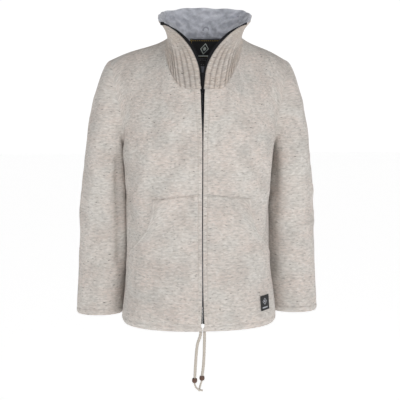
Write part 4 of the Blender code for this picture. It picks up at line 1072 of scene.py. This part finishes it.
for side, seed in (("left", 8), ("right", 9)):
    sign = 1 if side == "right" else -1
    grid = np.stack([x * sign, face_at(panels["front_" + side][0], x * sign, z), z], axis=2)
    out = normals_of(grid) * sign
    relief = sewn_edge(from_edge(grid, "far"), 0.008) * 0.7
    relief += sewn_edge(from_edge(grid, "high"), 0.007) * 0.4
    open_edge = smooth_step(z, mouth["z"][0], mouth["z"][0] + 0.02) * 0.05
    sewn = np.minimum(np.minimum(from_edge(grid, "near"), from_edge(grid, "low")),
                      np.minimum(from_edge(grid, "high"), from_edge(grid, "far") + open_edge))
    lift = POCKET_SEWN + (POCKET_LIFT + POCKET_CLOTH - POCKET_SEWN) * smooth_step(sewn, -0.001, 0.007)
    grid = grid + out * (lift + relief)[..., None]
    cut = cut_of(grid) * np.array([sign, 1.0])
    edges = dict.fromkeys(("near", "far", "low", "high"), POCKET_CLOTH / 2)
    piece = make_cloth("knit_pocket_" + side, grid, out, POCKET_CLOTH, [melange_knit], edges, seed=seed,
                       flip=side == "left", cut=cut)
    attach(piece, "garment")
    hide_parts("pocket_" + side)
    panels["pocket_" + side] = (grid, out)
    inset = int(np.argmin(np.abs(from_edge(grid, "high")[:, 5] - STITCH_INSET)))
    piece = make_stitches("pocket_top_stitches_" + side, lean(grid[inset]), out[inset], cream_thread)
    beside = int(np.argmin(np.abs(from_edge(grid, "far")[60] - STITCH_INSET)))
    piece = make_stitches("pocket_mouth_stitches_" + side, lean(grid[:, beside]), out[:, beside],
                          cream_thread)

for name, (grid, out) in list(panels.items()):
    if name.startswith("front_"):
        column = int(np.argmin(np.abs(from_edge(grid, "near")[80] - ZIP_EDGE_DEPTH)))
        rows = slice(int(np.argmin(np.abs(grid[:, 0, 2] - HEM_Z - EDGE_DEPTH))) + 1, len(grid) - 2)
        piece = make_stitches("zip_edge_stitches_" + name[6:], lean(grid[rows, column]),
                              out[rows, column], cream_thread)

# Open-end coil zip: two woven tapes sewn behind the front edges, each with a row of nylon teeth. It is
# closed up to the foot of the collar and open above.
TAPE_WIDTH = 0.0105
TAPE_CLOTH = 0.0010
TAPE_SHOWS = 0.0078
TAPE_SHOWS_LOW = 0.0040
TAPE_TURN = 0.0022
BEHIND_FRONT = 0.0012
BEHIND_COLLAR = 0.0007
TAPE_MEETS = 0.0006
TAPE_BOTTOM = -0.705
TAPE_SEAM = -0.140
TOP_STOPS = {"left": (0.0085, 0.0050, 0.0075), "right": (0.0040, 0.0030, 0.0040)}
TOOTH_PITCH = 0.0024
TOOTH_SIZE = (0.0026, 0.0011, 0.0014)
BOX_FACES = ((0, 3, 2, 1), (4, 5, 6, 7), (0, 1, 5, 4), (1, 2, 6, 5), (2, 3, 7, 6), (3, 0, 4, 7))
TAPE_BLACK = "#0D0D0F"
TAPE_LIGHTER = "#1C1C1F"
NYLON_BLACK = "#151517"

# Woven polyester tape: black herringbone with a dull sheen.
woven_tape, shader = new_material("woven_zip_tape", 0.8)
shader.inputs["Specular IOR Level"].default_value = 0.25
u, v = cut_places(woven_tape)
slant = math_node(woven_tape, "ADD", math_node(woven_tape, "MULTIPLY", u, 1.6), math_node(
    woven_tape, "PINGPONG", v, 2.0))
weave = math_node(woven_tape, "ABSOLUTE", math_node(woven_tape, "SINE", math_node(
    woven_tape, "MULTIPLY", slant, math.pi / 0.8)))
colour = mixed(woven_tape, weave, linear(TAPE_BLACK), linear(TAPE_LIGHTER))
dress(woven_tape, shader, colour, weave, strength=0.5, distance=0.0003)

# Nylon coil: moulded, slightly shiny.
nylon_coil, shader = new_material("nylon_coil", 0.5)
shader.inputs["Specular IOR Level"].default_value = 0.2
sheen_noise = add_node(nylon_coil, "TexNoise", {"Scale": 1500.0, "Detail": 1.0})
colour = mixed(nylon_coil, sheen_noise.outputs[0], linear(TAPE_BLACK), linear(NYLON_BLACK))
dress(nylon_coil, shader, colour)

edge_heights = np.linspace(0.03, 0.985, 60)
collar_edge = collar_surface(np.array([0.0, 0.12]), edge_heights)
at_edge, next_to = collar_edge[:, 0], collar_edge[:, 1]
inward = unit(next_to - at_edge)
edge_out = unit(np.cross(inward, np.gradient(at_edge, axis=0)))
widening = smooth_step(edge_heights, 0.10, 0.45) * (TAPE_SHOWS - TAPE_SHOWS_LOW)
shows = np.minimum(TAPE_SHOWS_LOW + widening, at_edge[:, 0] - TAPE_MEETS)[:, None]
spacing = np.interp(edge_heights, [0, 1], [0.0060, 0.0022])[:, None]
back_face = at_edge - edge_out * (COLLAR_CLOTH + BEHIND_COLLAR)
for side in ("left", "right"):
    sign = np.array([1.0 if side == "right" else -1.0, 1.0, 1.0])
    face, _ = panels["front_" + side]
    face = face * sign
    rows = (face[:, 0, 2] > TAPE_BOTTOM) & (face[:, 0, 2] < TAPE_SEAM)
    edge = face[rows, 4]
    low_lines = []
    for across in (TAPE_MEETS, TAPE_MEETS + TAPE_WIDTH):
        line = edge.copy()
        line[:, 0] = across
        line[:, 1] += CLOTH + BEHIND_FRONT + EDGE_CLOTH * (edge[:, 2] < HEM_Z + 0.02)
        low_lines.append(line)
    turned_out = edge_out * TAPE_TURN * smooth_step(edge_heights, 0.05, 0.4)[:, None]
    shown = np.concatenate([low_lines[0], back_face - inward * shows + turned_out])
    hidden = np.concatenate([low_lines[1], back_face + inward * spacing])
    facing = np.concatenate([np.tile([0.0, -1.0, 0.0], (len(edge), 1)), edge_out])
    across = np.linspace(0, 1, 9)[None, :, None]
    grid = (shown[:, None] * (1 - across) + hidden[:, None] * across) * sign
    out = np.repeat((facing * sign)[:, None], 9, axis=1)
    cut = cut_of(grid)
    edges = {"near": TAPE_CLOTH / 2, "far": TAPE_CLOTH / 2}
    piece = make_cloth("zip_tape_" + side + "_woven", grid, out, TAPE_CLOTH, [woven_tape], edges,
                       flip=side == "left", seed=10, cut=cut)
    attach(piece, "garment")
    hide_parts("zip_tape_" + side)

    run = run_along(shown)
    phase = 0.0 if side == "right" else TOOTH_PITCH / 2
    points, faces = [], []
    for along in np.arange(0.002 + phase, run[-1] - 0.002, TOOTH_PITCH):
        centre, inner, normal = (
            np.array([np.interp(along, run, values[:, k]) for k in range(3)])
            for values in (shown, hidden, facing))
        toward = unit(inner - centre)
        rise = unit(np.cross(normal, toward))
        normal = unit(np.cross(toward, rise)) * (1 if np.dot(np.cross(toward, rise), normal) > 0 else -1)
        middle = centre + toward * 0.0007 + normal * TOOTH_SIZE[2] * 0.45
        first = len(points)
        for a, b, c in ((-1, -1, -1), (1, -1, -1), (1, 1, -1), (-1, 1, -1), (-0.7, -0.6, 1), (0.8, -0.6, 1),
                        (0.8, 0.6, 1), (-0.7, 0.6, 1)):
            points.append((middle + toward * a * TOOTH_SIZE[0] / 2 + rise * b * TOOTH_SIZE[1] / 2
                           + normal * c * TOOTH_SIZE[2] / 2) * sign)
        faces += [tuple(first + n for n in loop) for loop in BOX_FACES]
    top = shown[-1] * sign
    stop_size = TOP_STOPS[side]
    first = len(points)
    for c in (-1, 1):
        for a, b in ((-1, -1), (1, -1), (1, 1), (-1, 1)):
            points.append(top + np.array([a, c, b]) * np.array(stop_size) / 2)
    faces += [tuple(first + n for n in loop) for loop in BOX_FACES]
    piece = make_piece("zip_teeth_" + side, lean(np.array(points)), faces, [nylon_coil])
    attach(piece, "garment")

# Zip slider and pull tab: die-cast zinc, painted black. The slider has a front plate, a back plate and
# a bridge, and the tab hangs from the bridge.
PIVOT = (0.0, -0.1345, -0.0985)
PULL_LENGTH = 0.0270
PULL_WIDTH = 0.0050
PULL_THICK = 0.0014
PULL_ABOVE = 0.0005
SLIDER_TOP = -0.0940
SLIDER_LENGTH = 0.0110
SLIDER_HALF_WIDTH = 0.0034
SLIDER_FRONT_Y = (-0.1331, -0.1317)
SLIDER_BACK_Y = (-0.1272, -0.1258)
BRIDGE_Y = (-0.1320, -0.1270)
PAINT_BLACK = "#0F0F11"
PAINT_WORN = "#232326"

# Black enamel on zinc: semi-matt, rubbed a little paler in places.
painted_zinc, shader = new_material("painted_zinc", 0.55)
shader.inputs["Specular IOR Level"].default_value = 0.12
rub = add_node(painted_zinc, "TexNoise", {"Scale": 420.0, "Detail": 3.0})
worn = add_node(painted_zinc, "MapRange", {0: rub.outputs[0], 1: 0.62, 2: 0.80}).outputs[0]
colour = mixed(painted_zinc, worn, linear(PAINT_BLACK), linear(PAINT_WORN))
dress(painted_zinc, shader, colour)


def plate(outline, front_y, back_y):
    """A flat plate with an outline in x and z, between two depths."""
    count = len(outline)
    points = [(px, front_y, pz) for px, pz in outline] + [(px, back_y, pz) for px, pz in outline]
    faces = [tuple(range(count)), tuple(range(2 * count - 1, count - 1, -1))]
    faces += [(count + i, count + (i + 1) % count, (i + 1) % count, i) for i in range(count)]
    return points, faces


def joined(name, parts, material, bevel):
    """A cast piece made of parts, its sharp edges softened."""
    points, faces = [], []
    for part_points, part_faces in parts:
        first = len(points)
        points += list(part_points)
        faces += [tuple(first + i for i in face) for face in part_faces]
    piece = make_piece(name, np.array(points), faces, [material])
    soften = piece.modifiers.new("cast edges", "BEVEL")
    soften.width = bevel
    soften.segments = 3
    soften.limit_method = "ANGLE"
    return piece


half = SLIDER_HALF_WIDTH
z0, z1 = SLIDER_TOP, SLIDER_TOP - SLIDER_LENGTH
slider_plate = [(-half, z0 - 0.0015), (-half * 0.6, z0), (half * 0.6, z0), (half, z0 - 0.0015),
                (half, z0 - 0.0055), (half * 0.72, z1), (-half * 0.72, z1), (-half, z0 - 0.0055)][::-1]
bridge = [(-0.0012, z0 - 0.001), (0.0012, z0 - 0.001), (0.0012, z0 - 0.004), (-0.0012, z0 - 0.004)][::-1]
parts = [plate(slider_plate, *SLIDER_FRONT_Y), plate(slider_plate, *SLIDER_BACK_Y), plate(bridge, *BRIDGE_Y)]
piece = joined("slider_body", parts, painted_zinc, 0.0004)
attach(piece, "garment")
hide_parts("zip_slider")

top = PIVOT[2] + PULL_ABOVE
round_end = PULL_WIDTH / 2
rim = []
for i in range(13):
    angle = math.pi * i / 12
    rim.append((round_end * math.cos(angle), top - round_end + round_end * math.sin(angle)))
waist = PULL_WIDTH * 0.36
rim += [(-waist, top - 0.008), (-waist, top - 0.012), (-round_end, top - 0.016)]
for i in range(9):
    angle = math.pi + math.pi * i / 8
    rim.append((round_end * math.cos(angle), top - PULL_LENGTH + round_end + round_end * math.sin(angle)))
rim += [(round_end, top - 0.016), (waist, top - 0.012), (waist, top - 0.008)]
rim = rim[::-1]
tab = plate(rim, PIVOT[1] - PULL_THICK / 2, PIVOT[1] + PULL_THICK / 2)
piece = joined("pull_tab", [tab], painted_zinc, 0.0003)
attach(piece, "pull")
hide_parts("zip_pull")

# Labels of woven satin and taffeta, sewn in at the neck and on the hem. Their faces carry no text,
# only a plain border, a lozenge above a bar, or both.
NECK_LABEL = (0.084, 0.049)
CARE_LABEL = (0.044, 0.020)
SIZE_TAG = (0.012, 0.009)
SIZE_TAG_FLAT = (0.012, 0.010)
HEM_LABEL = (0.023, 0.037)
NECK_LABEL_TOP = -0.003
HEM_LABEL_PLACE = (0.1560, -0.6640)
HEM_LABEL_TILT = 0.05
LABEL_CLOTH = 0.0009
LABEL_CLEAR = 0.0006
LABEL_BLACK = "#0C0C0E"
LABEL_THREAD = "#D5DDD6"
LABEL_GOLD = "#B89A4E"
CARE_GREY = "#2E2A28"
TAG_GREY = "#EDEDEF"


def woven_label(name, ground, thread, border, size_mm, lozenge):
    """Fine satin weave with a woven border line and, where it has one, a lozenge above a bar."""
    material, shader = new_material(name, 0.6)
    shader.inputs["Specular IOR Level"].default_value = 0.3
    u, v = cut_places(material)
    across = math_node(material, "ABSOLUTE", u)
    rise = math_node(material, "ABSOLUTE", v)
    slant = math_node(material, "ADD", u, math_node(material, "MULTIPLY", v, 0.5))
    weave = math_node(material, "ABSOLUTE", math_node(
        material, "SINE", math_node(material, "MULTIPLY", slant, math.pi / 0.5)))
    colour = linear(ground)
    inset = 4.0
    edge_u = math_node(material, "COMPARE", across, size_mm[0] / 2 - inset, 0.75)
    edge_v = math_node(material, "COMPARE", rise, size_mm[1] / 2 - inset, 0.75)
    dash = math_node(material, "GREATER_THAN", math_node(material, "FRACT", math_node(
        material, "DIVIDE", math_node(material, "ADD", u, v), 6.0)), 0.35)
    line = math_node(material, "MULTIPLY", math_node(material, "MAXIMUM", edge_u, edge_v), dash)
    colour = mixed(material, math_node(material, "MULTIPLY", line, border[1]), colour, linear(border[0]))
    if lozenge:
        up = math_node(material, "SUBTRACT", v, lozenge[2])
        reach = math_node(material, "ADD", math_node(material, "DIVIDE", across, lozenge[0]),
                          math_node(material, "DIVIDE", math_node(material, "ABSOLUTE", up), lozenge[1]))
        ring = math_node(material, "MAXIMUM", math_node(material, "COMPARE", reach, 0.88, 0.12),
                         math_node(material, "LESS_THAN", reach, 0.40))
        bar = math_node(material, "MULTIPLY", math_node(material, "COMPARE", v, lozenge[3], lozenge[4]),
                        math_node(material, "LESS_THAN", across, lozenge[0] * 1.25))
        drawn = math_node(material, "MAXIMUM", ring, bar)
        colour = mixed(material, math_node(material, "MULTIPLY", drawn, 0.85), colour, linear(thread))
    colour = mixed(material, math_node(material, "MULTIPLY", weave, 0.03), colour, linear(TAG_GREY))
    dress(material, shader, colour, weave, strength=0.4, distance=0.0002)
    return material


def make_label(name, node, size, place, surface, material, tilt=0.0):
    """A label laid on the cloth, a little above its face."""
    u = np.linspace(-size[0] / 2, size[0] / 2, 41)
    v = np.linspace(-size[1] / 2, size[1] / 2, 31)
    u[[1, -2]] = u[0] + 0.0003, u[-1] - 0.0003
    v[[1, -2]] = v[0] + 0.0003, v[-1] - 0.0003
    grid_u, grid_v = np.meshgrid(u, v)
    px = place[0] + grid_u * math.cos(tilt) - grid_v * math.sin(tilt)
    pz = place[1] + grid_u * math.sin(tilt) + grid_v * math.cos(tilt)
    face, lift = surface
    grid = np.stack([px, face_at(face, px, pz), pz], axis=2)
    out = normals_of(grid)
    curl = 0.0005 * (np.abs(grid_u) / (size[0] / 2)) ** 6
    curl += 0.0003 * np.sin(grid_u * 260.0) * np.cos(grid_v * 190.0)
    grid = grid + out * (lift + curl + LABEL_CLOTH)[..., None]
    cut = np.stack([grid_u, grid_v], axis=-1) * 1000
    edges = dict.fromkeys(("near", "far", "low", "high"), LABEL_CLOTH / 2)
    piece = make_cloth(name, grid, out, LABEL_CLOTH, [material], edges, cut=cut)
    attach(piece, "garment")
    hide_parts(node)
    return piece


neck_weave = woven_label("black_satin_neck", LABEL_BLACK, LABEL_THREAD, (LABEL_GOLD, 0.8), (84.0, 49.0),
                         (12.0, 14.5, 0.0, -18.5, 1.7))
care_weave = woven_label("grey_taffeta", CARE_GREY, TAG_GREY, (TAG_GREY, 0.3), (44.0, 20.0), None)
tag_weave = woven_label("pale_taffeta", TAG_GREY, TAG_GREY, (CARE_GREY, 0.2), (12.0, 9.0), None)
hem_weave = woven_label("black_satin_hem", LABEL_BLACK, "#B0B2B8", ("#55565C", 0.0), (23.0, 37.0),
                        (5.6, 8.5, 3.5, -11.5, 1.5))

inside_back = panels["back"][0]
label_top = NECK_LABEL_TOP
for name, node, slot, size, flat, material in (
    ("neck_label_woven", "neck_label", "label", NECK_LABEL, NECK_LABEL, neck_weave),
    ("care_label_woven", "care_label", "care", CARE_LABEL, CARE_LABEL, care_weave),
    ("size_tag_woven", "size_tag", "tag", SIZE_TAG, SIZE_TAG_FLAT, tag_weave),
):
    place = (0.0, label_top - size[1] / 2)
    make_label(name, node, size, place, (inside_back, CLOTH + LABEL_CLEAR), material)
    label_top -= size[1] + LABEL_CLEAR
make_label("hem_label_woven", "hem_label", HEM_LABEL, HEM_LABEL_PLACE,
           (panels["front_right"][0], POCKET_LIFT + POCKET_CLOTH + LABEL_CLEAR), hem_weave, HEM_LABEL_TILT)

# Hanger loop: a narrow grey tape, folded into an eye and sewn into the back of the neck.
LOOP_HALF_WIDTH = 0.0095
LOOP_LOW = 0.006
LOOP_HIGH = 0.028
LOOP_TAPE = 0.0045
LOOP_CLOTH = 0.0013
LOOP_DEPTH = 0.0083
LOOP_GREY = "#8F919B"

# Woven tape, mid grey, with a plain rib across it.
grey_tape, shader = new_material("grey_loop_tape", 0.8, sheen=0.15)
u, v = cut_places(grey_tape)
rib_lines = math_node(grey_tape, "ABSOLUTE", math_node(
    grey_tape, "SINE", math_node(grey_tape, "MULTIPLY", u, math.pi)))
colour = mixed(grey_tape, rib_lines, linear(FLEECE_DARK), linear(LOOP_GREY))
dress(grey_tape, shader, colour, rib_lines, strength=0.4, distance=0.0003)

middle = LOOP_HIGH - LOOP_HALF_WIDTH
arc = np.linspace(0, math.pi, 33)
climb = np.linspace(LOOP_LOW, middle, 12)[:-1]
lines = []
for radius in np.linspace(LOOP_HALF_WIDTH, LOOP_HALF_WIDTH - LOOP_TAPE, 7):
    px = np.concatenate([0 * climb + radius, radius * np.cos(arc), 0 * climb - radius])
    pz = np.concatenate([climb, middle + radius * np.sin(arc), climb[::-1]])
    section = collar_surface(np.array([float(BACK_PLACE)]), np.linspace(0, 1, 40))[:, 0]
    py = np.interp(pz, section[:, 2], section[:, 1]) - LOOP_DEPTH
    lines.append(np.stack([px, py, pz], axis=1))
grid = np.array(lines)
out = np.tile([0.0, -1.0, 0.0], (*grid.shape[:2], 1))
cut = np.stack([from_edge(grid, "near"), from_edge(grid, "low")], axis=-1) * 1000
edges = {"low": LOOP_CLOTH / 2, "high": LOOP_CLOTH / 2}
piece = make_cloth("hanger_loop_tape", grid, out, LOOP_CLOTH, [grey_tape], edges, flip=True, cut=cut)
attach(piece, "garment")
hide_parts("hanger_loop")

# A plain pale studio: a wide white floor well below the cardigan, white walls all round under a dim
# ceiling, one large soft light at the front right and a weaker one at the left.
FLOOR_Z = -1.60
FLOOR_SIZE = 40.0
STUDIO_WHITE = "#FFFFFF"
WALL_STRENGTH = 1.03
CEILING_STRENGTH = 0.25
CEILING_RISE = (0.15, 0.60)
LIGHT_TARGET = Vector((0.0, 0.0, -0.35))
LIGHTS = (
    ("name", "place", "size", "power"),
    ("soft_front_left", (-1.8, -2.6, 0.6), 1.6, 12.0),
    ("soft_front_right", (1.6, -2.8, 0.6), 1.6, 28.0),
)

floor_material, shader = new_material("white_paper", 0.9)
shader.inputs["Base Color"].default_value = linear(STUDIO_WHITE)
shader.inputs["Emission Color"].default_value = linear(STUDIO_WHITE)
shader.inputs["Emission Strength"].default_value = 0.6
half = FLOOR_SIZE / 2
corners = [(-half, -half, FLOOR_Z), (half, -half, FLOOR_Z), (half, half, FLOOR_Z), (-half, half, FLOOR_Z)]
floor = make_piece("floor", np.array(corners), [(0, 1, 2, 3)], [floor_material])
for name, place, size, power in LIGHTS[1:]:
    lamp = bpy.data.lights.new(name, "AREA")
    lamp.shape = "DISK"
    lamp.size = size
    lamp.energy = power
    light = bpy.data.objects.new(name, lamp)
    light.location = place
    light.rotation_euler = (LIGHT_TARGET - Vector(place)).to_track_quat("-Z", "Y").to_euler()
    bpy.context.scene.collection.objects.link(light)
world = bpy.data.worlds.new("white_studio")
world.use_nodes = True
sky = world.node_tree
background = sky.nodes["Background"]
background.inputs["Color"].default_value = linear(STUDIO_WHITE)
direction = sky.nodes.new("ShaderNodeTexCoord")
split = sky.nodes.new("ShaderNodeSeparateXYZ")
fall = sky.nodes.new("ShaderNodeMapRange")
for socket, value in zip(fall.inputs[1:5], (*CEILING_RISE, WALL_STRENGTH, CEILING_STRENGTH)):
    socket.default_value = value
sky.links.new(direction.outputs["Generated"], split.inputs[0])
sky.links.new(split.outputs[2], fall.inputs[0])
sky.links.new(fall.outputs[0], background.inputs["Strength"])
bpy.context.scene.world = world
bpy.context.scene.view_settings.view_transform = "Standard"
